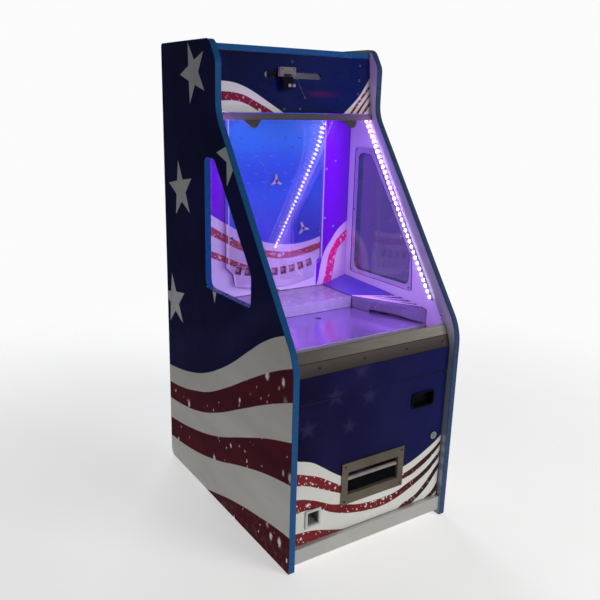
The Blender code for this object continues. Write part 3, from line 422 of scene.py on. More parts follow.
def field_print_mat(name, board):
    """The board's print: a blue field over a smile of white and red bands."""
    t = Mat(name)
    x, y, z = t.xyz()
    lo, hi = -0.300, 0.300

    def edge(points, low=0.60, high=1.02):
        return t.curve(x, sorted(points), lo, hi, low, high)

    top = edge([(-.300, .992), (-.270, .972), (-.221, .941), (-.171, .910), (-.125, .885), (-.084, .869), (-.034, .855), (.010, .849),
                (.060, .8475), (.110, .8525), (.166, .8675), (.300, .93)])
    red_a = edge([(-.300, .956), (-.270, .935), (-.221, .904), (-.171, .8745), (-.125, .853), (-.065, .836), (-.034, .829), (.035, .822),
                  (.085, .8275), (.135, .838), (.166, .847), (.300, .90)])
    red_b = edge([(-.300, .925), (-.270, .904), (-.221, .876), (-.171, .8475), (-.125, .828), (-.065, .813), (-.034, .8035), (.035, .799),
                  (.0975, .806), (.166, .8225), (.300, .87)])
    red_c = edge([(-.300, .870), (-.270, .852), (-.221, .829), (-.180, .808), (-.134, .789), (-.090, .772), (-.030, .700), (.300, .62)])
    red_d = edge([(-.300, .846), (-.270, .828), (-.221, .806), (-.180, .787), (-.134, .768), (-.090, .752), (-.030, .690), (.300, .61)])
    height = t.remap(z, 0.86, 1.28)
    if board:
        blue = t.mix(height, (0.055, 0.035, 0.60), (0.035, 0.42, 0.98))
        blue = t.mix(t.remap(t.m("ABSOLUTE", t.sub(z, 1.09)), 0.0, 0.12, 0.60, 0.0, smooth=True), blue, (0.016, 0.065, 0.66))
        dim = t.remap(t.m("SQRT", t.add(t.m("POWER", t.sub(x, 0.080), 2.0), t.m("POWER", t.sub(z, 0.935), 2.0))), 0.03, 0.13, 0.50, 0.0, smooth=True)
        blue = t.mix(dim, blue, (0.030, 0.030, 0.36))
    else:
        blue = t.mix(height, (0.20, 0.002, 0.66), (0.26, 0.004, 0.90))
    blue = t.mix(t.mul(t.remap(t.noise(5.0, 3.0, 0.5), 0.4, 0.7), 0.25), blue, (0.08, 0.16, 0.90) if board else (0.14, 0.006, 0.74))
    specks = sparkles(t, x, z)
    pale = (0.80, 0.76, 0.86)
    red = t.mix(specks, (0.46, 0.055, 0.085), (0.86, 0.70, 0.78))
    color = t.mix(t.step(top, z, 0.002), blue, pale)
    color = t.mix(t.mul(t.step(red_a, z, 0.002), t.step(z, red_b, 0.002)), color, red)
    color = t.mix(t.mul(t.step(red_c, z, 0.002), t.step(z, red_d, 0.002)), color, red)
    if not board:
        far = t.step(x, 0.158, 0.001)
        ring = [
            edge([(-.300, .60), (.120, .60), (.165, .690), (.175, .740), (.191, .800), (.2225, .8475), (.2475, .879), (.2725, .900), (.300, .916)]),
            edge([(-.300, .60), (.150, .60), (.195, .700), (.204, .745), (.212, .785), (.226, .815), (.2475, .846), (.2725, .867), (.300, .884)]),
            edge([(-.300, .60), (.180, .60), (.229, .700), (.238, .7475), (.245, .785), (.254, .810), (.2725, .829), (.300, .846)]),
        ]
        other = blue
        hot = t.mix(specks, (0.95, 0.020, 0.26), (1.0, 0.55, 0.75))
        for k, line in enumerate(ring):
            other = t.mix(t.step(line, z, 0.002), other, (0.88, 0.72, 0.90) if k % 2 == 0 else hot)
        color = t.mix(far, color, other)
    front = t.step(0.1606 if not board else 0.1462, y, 0.0006)
    color = t.mix(front, (0.55, 0.50, 0.45), color)
    if board:
        bow_normal(t, t.shader.inputs["Coat Normal"], 0.0235)
        t.set("coat", 0.7).set("coat_rough", 0.0).set("spec", 0.15)
        pin = t.step(0.1448, y, 0.0004)
        color = t.mix(pin, color, (0.70, 0.71, 0.74))
        t.set("metal", pin)
    smear = t.noise(12.0, 4.0, 0.6)
    t.set("color", color)
    t.set("rough", t.remap(smear, 0.3, 0.75, 0.035, 0.07) if not board else t.remap(smear, 0.3, 0.75, 0.04, 0.09))
    t.bump(t.noise(20.0, 2.0, 0.5), 0.02, 0.001)
    return t.mat


def metal(name, color, rough=0.3, grain=(1, 60, 60), strength=0.10, dirt=0.35, metallic=1.0):
    """Brushed or rolled metal with a grain along one axis, handling marks and faint dirt."""
    t = Mat(name, metal=metallic)
    lines = t.noise(18.0, 4.0, 0.65, t.stretch(grain))
    marks = t.noise(26.0, 6.0, 0.7)
    blot = t.remap(t.noise(5.0, 4.0, 0.6), 0.35, 0.75)
    dark = tuple(c * (1 - dirt) for c in color)
    t.set("color", t.mix(blot, color, dark))
    t.set("rough", t.add(t.remap(lines, 0.25, 0.75, rough - 0.06, rough + 0.10), t.remap(marks, 0.55, 0.8, 0.0, 0.12)))
    t.bump(t.add(t.mul(lines, 0.6), t.mul(marks, 0.25)), strength, 0.0004)
    return t.mat


def plastic(name, color, rough=0.45, grain=700.0, strength=0.12, wear=(0.10, 0.10, 0.11)):
    t = Mat(name)
    fine = t.noise(grain, 2.0, 0.6)
    rub = t.remap(t.noise(34.0, 6.0, 0.72), 0.56, 0.80)
    t.set("color", t.mix(t.mul(rub, 0.35), color, wear))
    t.set("rough", t.remap(t.noise(22.0, 4.0, 0.6), 0.3, 0.75, rough - 0.07, rough + 0.10))
    t.bump(fine, strength, 0.0003)
    return t.mat


def paint(name, color, rough=0.35, peel=120.0, dirt=(0.35, 0.34, 0.33), by=0.25):
    """Sprayed or laminated sheet: orange peel, dust and a few rubbed marks."""
    t = Mat(name, coat=0.15, coat_rough=0.2)
    blot = t.mul(t.remap(t.noise(8.0, 5.0, 0.65), 0.45, 0.8), by)
    t.set("color", t.mix(blot, color, dirt))
    t.set("rough", t.remap(t.noise(30.0, 4.0, 0.65), 0.3, 0.75, rough - 0.06, rough + 0.12))
    t.bump(t.noise(peel, 2.0, 0.5), 0.08, 0.0006)
    return t.mat


def wood(name):
    t = Mat(name)
    long = t.stretch((14, 14, 1.2))
    rings = t.noise(2.2, 5.0, 0.62, long, 1.4)
    grain = t.noise(9.0, 6.0, 0.7, t.stretch((30, 30, 1.0)))
    color = t.mix(t.remap(rings, 0.35, 0.65), (0.42, 0.28, 0.16), (0.60, 0.44, 0.28))
    t.set("color", t.mix(t.mul(t.remap(grain, 0.5, 0.7), 0.5), color, (0.26, 0.16, 0.09)))
    t.set("rough", t.remap(grain, 0.3, 0.7, 0.55, 0.75))
    t.bump(grain, 0.25, 0.0005)
    return t.mat


def clear_sheet(name, tint, rough, mirror=0.04, lean=0.0, edge=None, painted_shade_edge=False):
    """Thin clear sheet: what is behind shows through and both faces mirror a little; an edge colour, when given, paints
    a glow on the sawn edge by emission, and the last option paints the sheet's edge faces dark as shade.
    """
    t = Mat(name)
    t.tree.nodes.remove(t.shader)
    through = t.node("ShaderNodeBsdfTransparent", Color=tint)
    gloss = t.node("ShaderNodeBsdfGlossy", Color=(1, 1, 1))
    smear = t.noise(7.0, 5.0, 0.65, t.stretch((1, 1, 0.5)))
    t.feed(gloss.inputs["Roughness"], t.remap(smear, 0.35, 0.75, rough, rough + 0.03))
    facing = t.tree.nodes.new("ShaderNodeLayerWeight")
    facing.inputs["Blend"].default_value = 0.5
    share = t.m("MULTIPLY_ADD", t.m("POWER", facing.outputs["Facing"], 4.6), 0.90, mirror, clamp=True)
    if lean:
        bow_normal(t, gloss.inputs["Normal"], lean)
    mixed = t.node("ShaderNodeMixShader", Fac=share)
    t.tree.links.new(through.outputs[0], mixed.inputs[1])
    t.tree.links.new(gloss.outputs[0], mixed.inputs[2])
    if edge:
        # painted glow: an emissive rim where the sheet's sawn edge lies
        x = t.xyz()[0]
        lit = t.tree.nodes.new("ShaderNodeEmission")
        lit.inputs["Color"].default_value = (*edge, 1)
        lit.inputs["Strength"].default_value = 0.9
        rim = t.node("ShaderNodeMixShader", Fac=t.step(t.m("ABSOLUTE", t.add(x, 0.0275)), 0.1850, 0.0006))
        t.tree.links.new(mixed.outputs[0], rim.inputs[1])
        t.tree.links.new(lit.outputs[0], rim.inputs[2])
        mixed = rim
    if painted_shade_edge:
        # painted shade: faces that don't face along X, the sheet's thin edges, are a dark violet diffuse
        way = t.tree.nodes.new("ShaderNodeSeparateXYZ")
        t.tree.links.new(t.tree.nodes.new("ShaderNodeNewGeometry").outputs["True Normal"], way.inputs[0])
        dull = t.node("ShaderNodeBsdfDiffuse", Color=(0.035, 0.022, 0.10))
        rim = t.node("ShaderNodeMixShader", Fac=t.step(0.5, t.m("ABSOLUTE", way.outputs[0]), 0.1))
        t.tree.links.new(mixed.outputs[0], rim.inputs[1])
        t.tree.links.new(dull.outputs[0], rim.inputs[2])
        mixed = rim
    t.tree.links.new(mixed.outputs[0], t.out.inputs["Surface"])
    return t.mat


def glowing(name, color, strength, base=(0.9, 0.88, 0.98)):
    t = Mat(name, color=base, rough=0.25, emit=color, emit_by=strength)
    t.bump(t.noise(600.0, 2.0, 0.5), 0.05, 0.0002)
    return t.mat


def cup_mat():
    """Light painted plate with dust blots; its recess is darkened by depth as painted shade."""
    t = Mat("cup_paint", coat=0.15, coat_rough=0.2)
    y = t.xyz()[1]
    blot = t.mul(t.remap(t.noise(8.0, 5.0, 0.65), 0.45, 0.8), 0.25)
    color = t.mix(blot, (0.72, 0.73, 0.70), (0.35, 0.34, 0.33))
    # painted shade: darker deeper into the recess
    t.set("color", t.mix(t.remap(y, -0.4065, -0.4000), color, (0.16, 0.155, 0.145)))
    t.set("rough", t.remap(t.noise(30.0, 4.0, 0.65), 0.3, 0.75, 0.24, 0.42))
    t.bump(t.noise(120.0, 2.0), 0.08, 0.0006)
    return t.mat


def trim_mat():
    """Glossy extruded edging with rubbed marks; the right-hand run is painted darker and greyer as shade."""
    t = Mat("blue_trim")
    x, y, z = t.xyz()
    rub = t.remap(t.noise(34.0, 6.0, 0.72), 0.56, 0.80)
    # painted shade: right of x 0.285 the trim takes a darker, greyer blue
    color = t.mix(t.step(x, 0.285, 0.01), (0.013, 0.110, 0.32), (0.045, 0.085, 0.20))
    t.set("color", t.mix(t.mul(rub, 0.35), color, (0.05, 0.18, 0.40)))
    t.set("rough", t.remap(t.noise(22.0, 4.0, 0.6), 0.3, 0.75, 0.22, 0.38))
    t.bump(t.noise(300.0, 2.0), 0.06, 0.0003)
    return t.mat


M = {
    "side": side_print("side_print"),
    "door": door_print("door_print"),
    "marquee": marquee_print("marquee_print"),
    "board": field_print_mat("board_print", True),
    "wall": field_print_mat("wall_print", False),
    "trim": trim_mat(),
    "steel": metal("brushed_steel", (0.46, 0.42, 0.40), 0.34),
    "rail": metal("rail_steel", (0.105, 0.088, 0.085), 0.36, (1, 40, 40), 0.16, 0.30, 0.30),
    "frame": metal("frame_steel", (0.250, 0.212, 0.160), 0.42, (1, 50, 50), 0.14, 0.45, 0.30),
    # painted light: the deck and ramp steel are tinted violet for the violet LED light falling on them
    "deck": metal("deck_steel", (0.43, 0.34, 0.66), 0.15, (40, 1, 40), 0.015, 0.06, 0.70),
    "ramp": metal("ramp_steel", (0.33, 0.30, 0.42), 0.22, (30, 2, 30), 0.04, 0.06, 0.55),
    "chrome": metal("chrome", (0.82, 0.82, 0.84), 0.10, (8, 8, 8), 0.03, 0.08),
    "plated": metal("plated_metal", (0.50, 0.50, 0.49), 0.20, (8, 8, 8), 0.03, 0.08, 0.35),
    "black": plastic("black_plastic", (0.0055, 0.0055, 0.008), 0.34, 700.0, 0.12, (0.03, 0.03, 0.035)),
    "grey": paint("grey_metal", (0.25, 0.25, 0.26), 0.42),
    "kick": metal("kick_metal", (0.80, 0.79, 0.77), 0.44, (1, 60, 60), 0.14, 0.14, 0.35),
    "white_metal": paint("white_metal", (0.38, 0.38, 0.48), 0.24, 120.0, (0.30, 0.29, 0.36)),
    "white": paint("white_laminate", (0.78, 0.76, 0.80), 0.30),
    "cup": cup_mat(),
    "ply": wood("plywood"),
    "shelf": paint("blue_sheet", (0.13, 0.085, 0.62), 0.12, 60.0, (0.18, 0.12, 0.60)),
    "glass": clear_sheet("safety_glass", (0.95, 0.97, 0.97), 0.01),
    # the cover's sawn edge is painted glowing violet
    "cover": clear_sheet("cover_acrylic", (0.97, 0.97, 0.98), 0.008, 0.16, 0.01735, (0.55, 0.38, 1.0)),
    # the window's edge faces are painted dark as shade
    "window": clear_sheet("window_acrylic", (0.93, 0.93, 0.96), 0.012, 0.05, 0.0, None, True),
    "led": glowing("led_board", (0.40, 0.14, 1.0), 0.05, (0.16, 0.13, 0.28)),
    "housing": paint("led_housing", (0.22, 0.18, 0.34), 0.30),
    "dome": glowing("led_dome", (0.95, 0.74, 1.0), 5.5),
    "spinner": metal("spinner_metal", (0.80, 0.82, 0.88), 0.25, (20, 20, 20), 0.05, 0.10, 0.25),
    # painted reflection: the pins' metal, also used on the back-wall screws, is tinted blue for the blue board it
    # mirrors
    "pin": metal("blue_reflection_pin_metal", (0.36, 0.55, 0.98), 0.16, (20, 20, 20), 0.03, 0.05, 0.35),
    "block": metal("block_steel", (0.42, 0.40, 0.42), 0.28, (1, 40, 40), 0.10, 0.15, 0.45),
    # painted highlight: the steel ridges are a near-white, slightly violet, non-metallic colour for their bright sheen
    "ridge": metal("ridge_steel", (0.98, 0.92, 1.0), 0.25, (30, 2, 30), 0.02, 0.0, 0.0),
    "channel": paint("channel_metal", (0.11, 0.10, 0.10), 0.40, 120.0, (0.05, 0.05, 0.05)),
    "hinge": metal("hinge_steel", (0.30, 0.30, 0.34), 0.35, (20, 20, 2), 0.10, 0.15, 0.35),
    "wall_inside": paint("wall_laminate", (0.72, 0.70, 0.78), 0.14, 30.0, (0.60, 0.58, 0.66)),
}


def lens_mat():
    """Dark red lens with a small diamond in each of nine windows."""
    t = Mat("red_lens", coat=0.6, coat_rough=0.05)
    x, y, z = t.xyz()
    along = t.m("DIVIDE", t.add(x, 0.0275 + 0.0355 * 4.5), 0.0355)
    cell = t.sub(t.m("FRACT", along), 0.5)
    drop = t.sub(z, t.sub(0.7560 + 0.555, t.m("SQRT", t.sub(0.555 ** 2, t.m("POWER", t.add(x, 0.0275), 2.0)))))
    shape = t.add(t.m("ABSOLUTE", t.mul(cell, 0.0355)), t.m("ABSOLUTE", drop))
    ring = t.mul(t.step(shape, 0.0045, 0.001), t.step(0.0080, shape, 0.001))
    core = t.step(0.0026, shape, 0.001)
    base = t.mix(t.remap(t.noise(60.0, 3.0), 0.3, 0.7), (0.22, 0.015, 0.07), (0.34, 0.03, 0.12))
    t.set("color", t.mix(t.high(ring, core), base, (0.85, 0.45, 0.55)))
    t.set("rough", t.remap(t.noise(40.0), 0.3, 0.7, 0.16, 0.26))
    return t.mat


def flap_mat():
    """Black flap that hangs on a steel rod, the rod painted a light, mostly non-metallic grey as a painted highlight
    against the outlet's shade.
    """
    t = Mat("flap_finish")
    z = t.xyz()[2]
    rod = t.step(z, 0.2322, 0.0006)
    rub = t.remap(t.noise(30.0, 5.0, 0.7), 0.5, 0.8)
    dark = t.mix(rub, (0.003, 0.0025, 0.005), (0.012, 0.011, 0.015))
    t.set("spec", 0.25)
    # painted highlight: the rod's light grey keeps it bright where it sits in shade
    bright = t.mix(rub, (0.50, 0.46, 0.42), (0.30, 0.27, 0.24))
    t.set("color", t.mix(rod, dark, bright))
    t.set("metal", t.mul(rod, 0.3))
    t.set("rough", t.remap(rub, 0.0, 1.0, 0.30, 0.45))
    t.bump(t.noise(300.0, 2.0), 0.06, 0.0003)
    return t.mat


def rail_mat():
    """Folded brushed sheet: the upper fold has a painted highlight that grows towards the right, the lower one is
    painted duller, browner and darker towards its bottom as shade, and a dark line of painted shade runs along the
    crease.
    """
    t = Mat("rail_finish", metal=0.3)
    x, y, z = t.xyz()
    grain = t.noise(20.0, 4.0, 0.65, t.stretch((1, 40, 40)))
    # painted highlight: the upper fold lightens from left to right
    lit = t.remap(x, -0.29, 0.29, 0.0, 1.0)
    upper = t.mix(lit, (0.185, 0.165, 0.150), (0.60, 0.56, 0.48))
    # painted shade: the lower fold is duller, darkest at its bottom
    lower = t.mix(t.remap(z, 0.602, 0.634), (0.095, 0.078, 0.082), (0.180, 0.150, 0.140))
    color = t.mix(t.step(z, 0.6352, 0.0010), lower, upper)
    # painted shade: a dark line along the crease between the folds
    color = t.mix(t.band(z, 0.6335, 0.6356, 0.0008), color, (0.030, 0.026, 0.028))
    color = t.mix(t.remap(grain, 0.35, 0.7, 0.0, 0.35), color, (0.055, 0.048, 0.046))
    t.set("color", color)
    t.set("rough", t.remap(grain, 0.25, 0.75, 0.30, 0.46))
    t.bump(grain, 0.12, 0.0004)
    return t.mat


M["rail"] = rail_mat()
M["lens"] = lens_mat()
M["flap"] = flap_mat()

FINISH = {
    "side": "side_panel_left side_panel_right",
    "door": "front_door front_upper_panel hinge_door_leaf",
    "marquee": "marquee_panel",
    "board": "pin_plate",
    "wall": "back_wall",
    "trim": "edge_trim_left edge_trim_right window_trim_left window_trim_right marquee_trim",
    "steel": "pusher_guide_left pusher_guide_right drop_chute payout_tray pusher_yoke crank_disc",
    "block": "coin_inlet",
    "hinge": "hinge_cabinet_leaf",
    "rail": "steel_rail",
    "frame": "outlet_frame",
    "deck": "playfield_deck",
    "ramp": "side_ramp_left side_ramp_right",
    "chrome": "inlet_guide_rod lock_housing",
    "plated": "lock_plug",
    "black": "inlet_carriage inlet_grip door_pull power_inlet power_switch",
    "channel": "glass_channel",
    "grey": "coin_box drive_motor control_box power_supply",
    "kick": "kick_plate",
    "white_metal": "pusher_plate",
    "white": "deck_lip back_panel top_panel",
    "cup": "return_cup",
    "ply": "base_panel pin_board door_strike",
    "shelf": "side_shelf_left side_shelf_right",
    "glass": "front_glass",
    "cover": "board_cover",
    "window": "side_window_left side_window_right",
    "led": "led_strip_left led_strip_right",
    "spinner": "spinner_upper spinner_lower",
    "lens": "indicator_strip",
    "flap": "outlet_flap",
}
for key, names in FINISH.items():
    for name in names.split():
        mesh = NODES[name].data
        mesh.materials.clear()
        mesh.materials.append(M[key])


def soften(names, width, segments=2, angle=35):
    """Rounds a CAD node's sharp edges a little, as the real edges are."""
    for name in names.split():
        node = NODES[name]
        weld = node.modifiers.new("weld", "WELD")
        weld.merge_threshold = 0.00002
        flat = node.modifiers.new("flat", "DECIMATE")
        flat.decimate_type = "DISSOLVE"
        flat.angle_limit = math.radians(0.6)
        edge = node.modifiers.new("edges", "BEVEL")
        edge.width = width
        edge.segments = segments
        edge.limit_method = "ANGLE"
        edge.angle_limit = math.radians(angle)
        edge.use_clamp_overlap = True


soften("edge_trim_left edge_trim_right", 0.0009, 3, 50)
soften("side_panel_left side_panel_right", 0.0006, 2, 60)
soften("front_door front_upper_panel", 0.0008, 2, 60)
soften("outlet_frame", 0.0009, 3, 50)
soften("door_pull return_cup", 0.0010, 3, 50)
soften("coin_inlet inlet_grip inlet_carriage", 0.0010, 3, 50)
soften("pusher_plate", 0.0009, 3, 50)
soften("steel_rail glass_channel", 0.0005, 2, 40)
soften("spinner_upper spinner_lower", 0.0010, 3, 50)
soften("back_panel top_panel back_wall", 0.0008, 2, 50)


# ------------------------------------------------------------------ detail pieces
def piece(name, bm, mat, body, smooth=45):
    bmesh.ops.recalc_face_normals(bm, faces=bm.faces)
    mesh = bpy.data.meshes.new(name)
    bm.to_mesh(mesh)
    bm.free()
    if smooth:
        mesh.shade_smooth()
        mesh.set_sharp_from_angle(angle=math.radians(smooth))
    mesh.materials.append(M[mat])
    obj = bpy.data.objects.new(name, mesh)
    bpy.context.scene.collection.objects.link(obj)
    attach(obj, body)
    return obj


def lathe(bm, at, axis, rings, sides=20, spin=0.0):
    """Turned shape: rings of (radius, height[, corners]) along axis; corners makes that ring a polygon."""
    axis = Vector(axis).normalized()
    frame_of = axis.to_track_quat("Z", "Y").to_matrix()
    at = Vector(at)
    loops = []
    for ring in rings:
        radius, height = ring[0], ring[1]
        if radius <= 0:
            loops.append([bm.verts.new(at + frame_of @ Vector((0, 0, height)))])
            continue
        loop = []
        for k in range(sides):
            a = 2 * math.pi * k / sides + spin
            r = radius
            if len(ring) > 2:
                wedge = 2 * math.pi / ring[2]
                r = radius / math.cos((a % wedge) - wedge / 2)
            loop.append(bm.verts.new(at + frame_of @ Vector((r * math.cos(a), r * math.sin(a), height))))
        loops.append(loop)
    for a, b in zip(loops, loops[1:]):
        for k in range(sides):
            if len(a) == 1 and len(b) == 1:
                break
            if len(a) == 1:
                bm.faces.new((a[0], b[k], b[(k + 1) % sides]))
            elif len(b) == 1:
                bm.faces.new((a[k], a[(k + 1) % sides], b[0]))
            else:
                bm.faces.new((a[k], a[(k + 1) % sides], b[(k + 1) % sides], b[k]))


def dome_screw(bm, at, axis, radius=0.0042, height=0.0022):
    """Domed socket screw: rounded head with a hexagonal recess."""
    lathe(bm, at, axis, [(radius, -0.0004), (radius, height * 0.25), (radius * 0.93, height * 0.62), (radius * 0.76, height * 0.9),
                         (radius * 0.56, height), (radius * 0.42, height, 6), (radius * 0.40, height * 0.35, 6), (0, height * 0.30)], 24)


def cross_screw(bm, at, axis, radius=0.0040, height=0.0016, spin=0.3):
    """Countersunk-style head with a cross recess."""
    axis = Vector(axis).normalized()
    turned = axis.to_track_quat("Z", "Y").to_matrix()
    at = Vector(at)
    sides = 24
    outer = [bm.verts.new(at + turned @ Vector((radius * math.cos(2 * math.pi * k / sides), radius * math.sin(2 * math.pi * k / sides), -0.0003))) for k in range(sides)]
    rim = [bm.verts.new(at + turned @ Vector((radius * 0.86 * math.cos(2 * math.pi * k / sides), radius * 0.86 * math.sin(2 * math.pi * k / sides), height * 0.8))) for k in range(sides)]
    cross_at = []
    for k in range(sides):
        a = 2 * math.pi * k / sides
        near = abs(((a + math.pi / 4) % (math.pi / 2)) - math.pi / 4)
        r = radius * (0.58 if near < 0.14 else 0.56 if near < 0.30 else 0.20)
        cross_at.append((r * math.cos(a + spin), r * math.sin(a + spin)))
    top = [bm.verts.new(at + turned @ Vector((u, v, height))) for u, v in cross_at]
    low = [bm.verts.new(at + turned @ Vector((u * 0.9, v * 0.9, height * 0.1))) for u, v in cross_at]
    order = [(k + round(spin / (2 * math.pi) * sides)) % sides for k in range(sides)]
    for k in range(sides):
        n = (k + 1) % sides
        bm.faces.new((outer[k], outer[n], rim[n], rim[k]))
        bm.faces.new((rim[order[k]], rim[order[n]], top[n], top[k]))
        bm.faces.new((top[k], top[n], low[n], low[k]))
    bm.faces.new(low)


def screws(name, spots, body, kind="dome", radius=0.0042, mat="chrome", height=0.0022):
    bm = bmesh.new()
    for number, (at, axis) in enumerate(spots):
        if kind == "dome":
            dome_screw(bm, at, axis, radius, height)
        else:
            cross_screw(bm, at, axis, radius, height, 0.26 * (number % 6))
    return piece(name, bm, mat, body)


def slab(bm, low, high, bevel=0.0):
    made = bmesh.ops.create_cube(bm, size=1.0)["verts"]
    low, high = Vector(low), Vector(high)
    bmesh.ops.scale(bm, vec=high - low, verts=made)
    bmesh.ops.translate(bm, vec=(low + high) / 2, verts=made)
    if bevel:
        edges = list({e for v in made for e in v.link_edges})
        bmesh.ops.bevel(bm, geom=edges, offset=bevel, segments=3, profile=0.5, affect="EDGES")


# LED packages and domes along both strips
low_yz, high_yz = Vector((-0.3050, 0.7360)), Vector((0.0655, 1.2680))
along = (high_yz - low_yz).normalized()
square = Vector((-along.y, along.x))
for side, tag in ((-1, "left"), (1, "right")):
    bodies_bm, domes_bm = bmesh.new(), bmesh.new()
    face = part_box(f"led_strip_{tag}")[0].x if side > 0 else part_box(f"led_strip_{tag}")[1].x
    for k in range(34):
        c = low_yz + (high_yz - low_yz) * (k / 33)
        loops = []
        for d, h in ((0.0040, 0.0002), (0.0040, -0.0044), (0.0036, -0.0050)):
            loops.append([bodies_bm.verts.new((face + side * h, *(c + along * (a * d) + square * (b * d))))
                          for a, b in ((-1, -1), (1, -1), (1, 1), (-1, 1))])
        for a, b in zip(loops, loops[1:]):
            for j in range(4):
                bodies_bm.faces.new((a[j], a[(j + 1) % 4], b[(j + 1) % 4], b[j]))
        bodies_bm.faces.new(loops[-1])
        bodies_bm.faces.new(loops[0][::-1])
        lathe(domes_bm, (face - side * 0.0048, c.x, c.y), (-side, 0, 0),
              [(0.0056, 0.0), (0.0060, 0.0010), (0.0057, 0.0022), (0.0045, 0.0034), (0.0024, 0.0041), (0, 0.0043)], 16)
    piece(f"led_packages_{tag}", bodies_bm, "housing", "cabinet", 30)
    piece(f"led_domes_{tag}", domes_bm, "dome", "cabinet")

# Round pins with domed heads over the board's studs
MID, HALF = -0.0275, 0.1875
PIN_TOP, PITCH_X, PITCH_Z = (0.0045, 1.2095), 0.0560, 0.0286
HUBS = ((-0.0310, 1.0695), (0.0815, 0.9010))
bm = bmesh.new()
for row in range(7):
    for column in range(-4, 4):
        px = PIN_TOP[0] + PITCH_X * (column + (0.5 if row % 2 else 0.0))
        pz = PIN_TOP[1] - PITCH_Z * row
        if abs(px - MID) < HALF - 0.018 and not any(math.hypot(px - a, pz - b) < 0.030 for a, b in HUBS):
            lathe(bm, (px, 0.1451, pz), (0, -1, 0), [(0.0030, 0.0), (0.0028, 0.0005), (0.0018, 0.0008), (0.0018, 0.0104),
                                                     (0.0023, 0.0108), (0.0024, 0.0115), (0.0018, 0.0121), (0.0008, 0.0125), (0, 0.0126)], 14)
piece("pin_set", bm, "pin", "cabinet")
bm = bmesh.new()
for px, pz in ((-0.203, 1.285), (0.148, 1.285), (-0.203, 0.890), (0.148, 0.890)):
    lathe(bm, (px, 0.1451, pz), (0, -1, 0), [(0.0042, 0.0), (0.0042, 0.0125), (0.0042, 0.0126), (0.0, 0.0127)], 18)
    dome_screw(bm, (px, 0.1289, pz), (0, -1, 0), 0.0048, 0.0022)
piece("cover_standoffs", bm, "chrome", "cabinet")

# Spinner hubs turn with their spinners
for (px, pz), body, name in zip(HUBS, ("upper_rotor", "lower_rotor"), ("hub_upper", "hub_lower")):
    bm = bmesh.new()
    lathe(bm, (px, 0.1351, pz), (0, -1, 0), [(0.0062, -0.0002), (0.0060, 0.0008), (0.0044, 0.0014), (0.0030, 0.0016), (0.0026, 0.0010), (0, 0.0008)], 20)
    for arm in range(3):
        a = math.pi / 2 + (0.0 if body == "upper_rotor" else 0.35) + arm * 2 * math.pi / 3
        lathe(bm, (px + 0.0195 * math.cos(a), 0.1351, pz + 0.0195 * math.sin(a)), (0, -1, 0), [(0.0017, -0.0002), (0.0015, 0.0005), (0, 0.0007)], 12)
    piece(name, bm, "chrome", body)


# Screws
def on_marquee(x, z):
    return (x, 0.0551 + (z - 1.2932) * (0.0752 - 0.0551) / (1.4692 - 1.2932) - 0.0001, z)


screws("back_wall_screws", [((side * 0.2270 + (0.0 if side > 0 else 0.0), 0.1599, z), (0, -1, 0)) for side in (-1, 1) for z in (0.8945, 1.1275)]
       + [((side * 0.1895 - (0.055 if side < 0 else 0.0), 0.1599, z), (0, -1, 0)) for side in (1,) for z in (0.9263, 1.1005)], "cabinet", "dome", 0.0040, "pin")
bm = bmesh.new()
for side in (-1, 1):
    start = Vector((side * 0.1925, -0.0165, 0.6802))
    for y_, z_ in ((-0.1560, 0.6988), (-0.1960, 0.6973), (-0.2320, 0.6948), (-0.2640, 0.6923)):
        end = Vector((side * 0.2878, y_, z_))
        run = (end - start).normalized()
        lathe(bm, start, run, [(0, -0.0006), (0.0016, 0.0), (0.0019, (end - start).length * 0.5), (0.0016, (end - start).length), (0, (end - start).length + 0.0004)], 8)
piece("ramp_ridges", bm, "ridge", "cabinet")
lean = Vector((0, -1, 0.114)).normalized()
screws("marquee_screws", [(on_marquee(x, z), lean) for x, z in
                          ((-.020, 1.448), (.248, 1.448), (.243, 1.400), (.236, 1.357), (-.056, 1.304), (.004, 1.306))], "cabinet", "dome", 0.0046)
GLASS_N = Vector((0, -1, 0.697)).normalized()


def on_tab(x, z):
    y = -0.3686 + (z - 0.6645) * 0.697
    return Vector((x, y, z)) + GLASS_N * 0.0026


screws("tab_screws", [(on_tab(x, 1.2560), GLASS_N) for x in (-.1835, -.1650, .1915, .2095)], "cabinet", "cross", 0.0036, height=0.0013)
rail_n = Vector((0, -0.934, 0.358)).normalized()
screws("rail_screws", [((x, -0.3973, 0.6175), rail_n) for x in (-.205, -.045, .115, .262)], "cabinet", "cross", 0.0040, "steel", 0.0012)
screws("lip_screws", [((x, -0.2926, 0.6120), (0, -1, 0)) for x in (-.215, -.070, .075, .215)], "cabinet", "cross", 0.0036, height=0.0013)
for side, tag in ((-1, "left"), (1, "right")):
    inner = side * 0.2862
    spots = [((inner, y, z), (-side, 0, 0)) for y, z in ((.0395, 1.168), (.1135, 1.168), (.1150, 0.960), (.1150, 0.740), (-.1980, 0.741), (-.1970, 0.8560), (-.0850, 1.008))]
    screws(f"window_screws_{tag}", spots, "cabinet", "cross", 0.0038, height=0.0014)
    wall = side * 0.2897
    screws(f"wall_screws_{tag}", [((wall, y, z), (-side, 0, 0)) for y, z in ((-.3540, .6870), (-.3560, .6740), (.1300, 1.3000))], "cabinet", "cross", 0.0040, height=0.0014)
screws("outlet_screws", [((x, -0.4086, z), (0, -1, 0)) for x in (-.106, .114) for z in (.168, .285)], "door", "dome", 0.0034, "steel", 0.0014)
rear_spots = [((x, 0.4226, z), (0, 1, 0)) for x in (-.276, -.092, .092, .276) for z in (.045, 1.455)]
rear_spots += [((x, 0.4226, z), (0, 1, 0)) for x in (-.276, .276) for z in (.280, .515, .750, .985, 1.220)]
screws("rear_screws", rear_spots, "cabinet", "cross", 0.0046, "chrome", 0.0018)
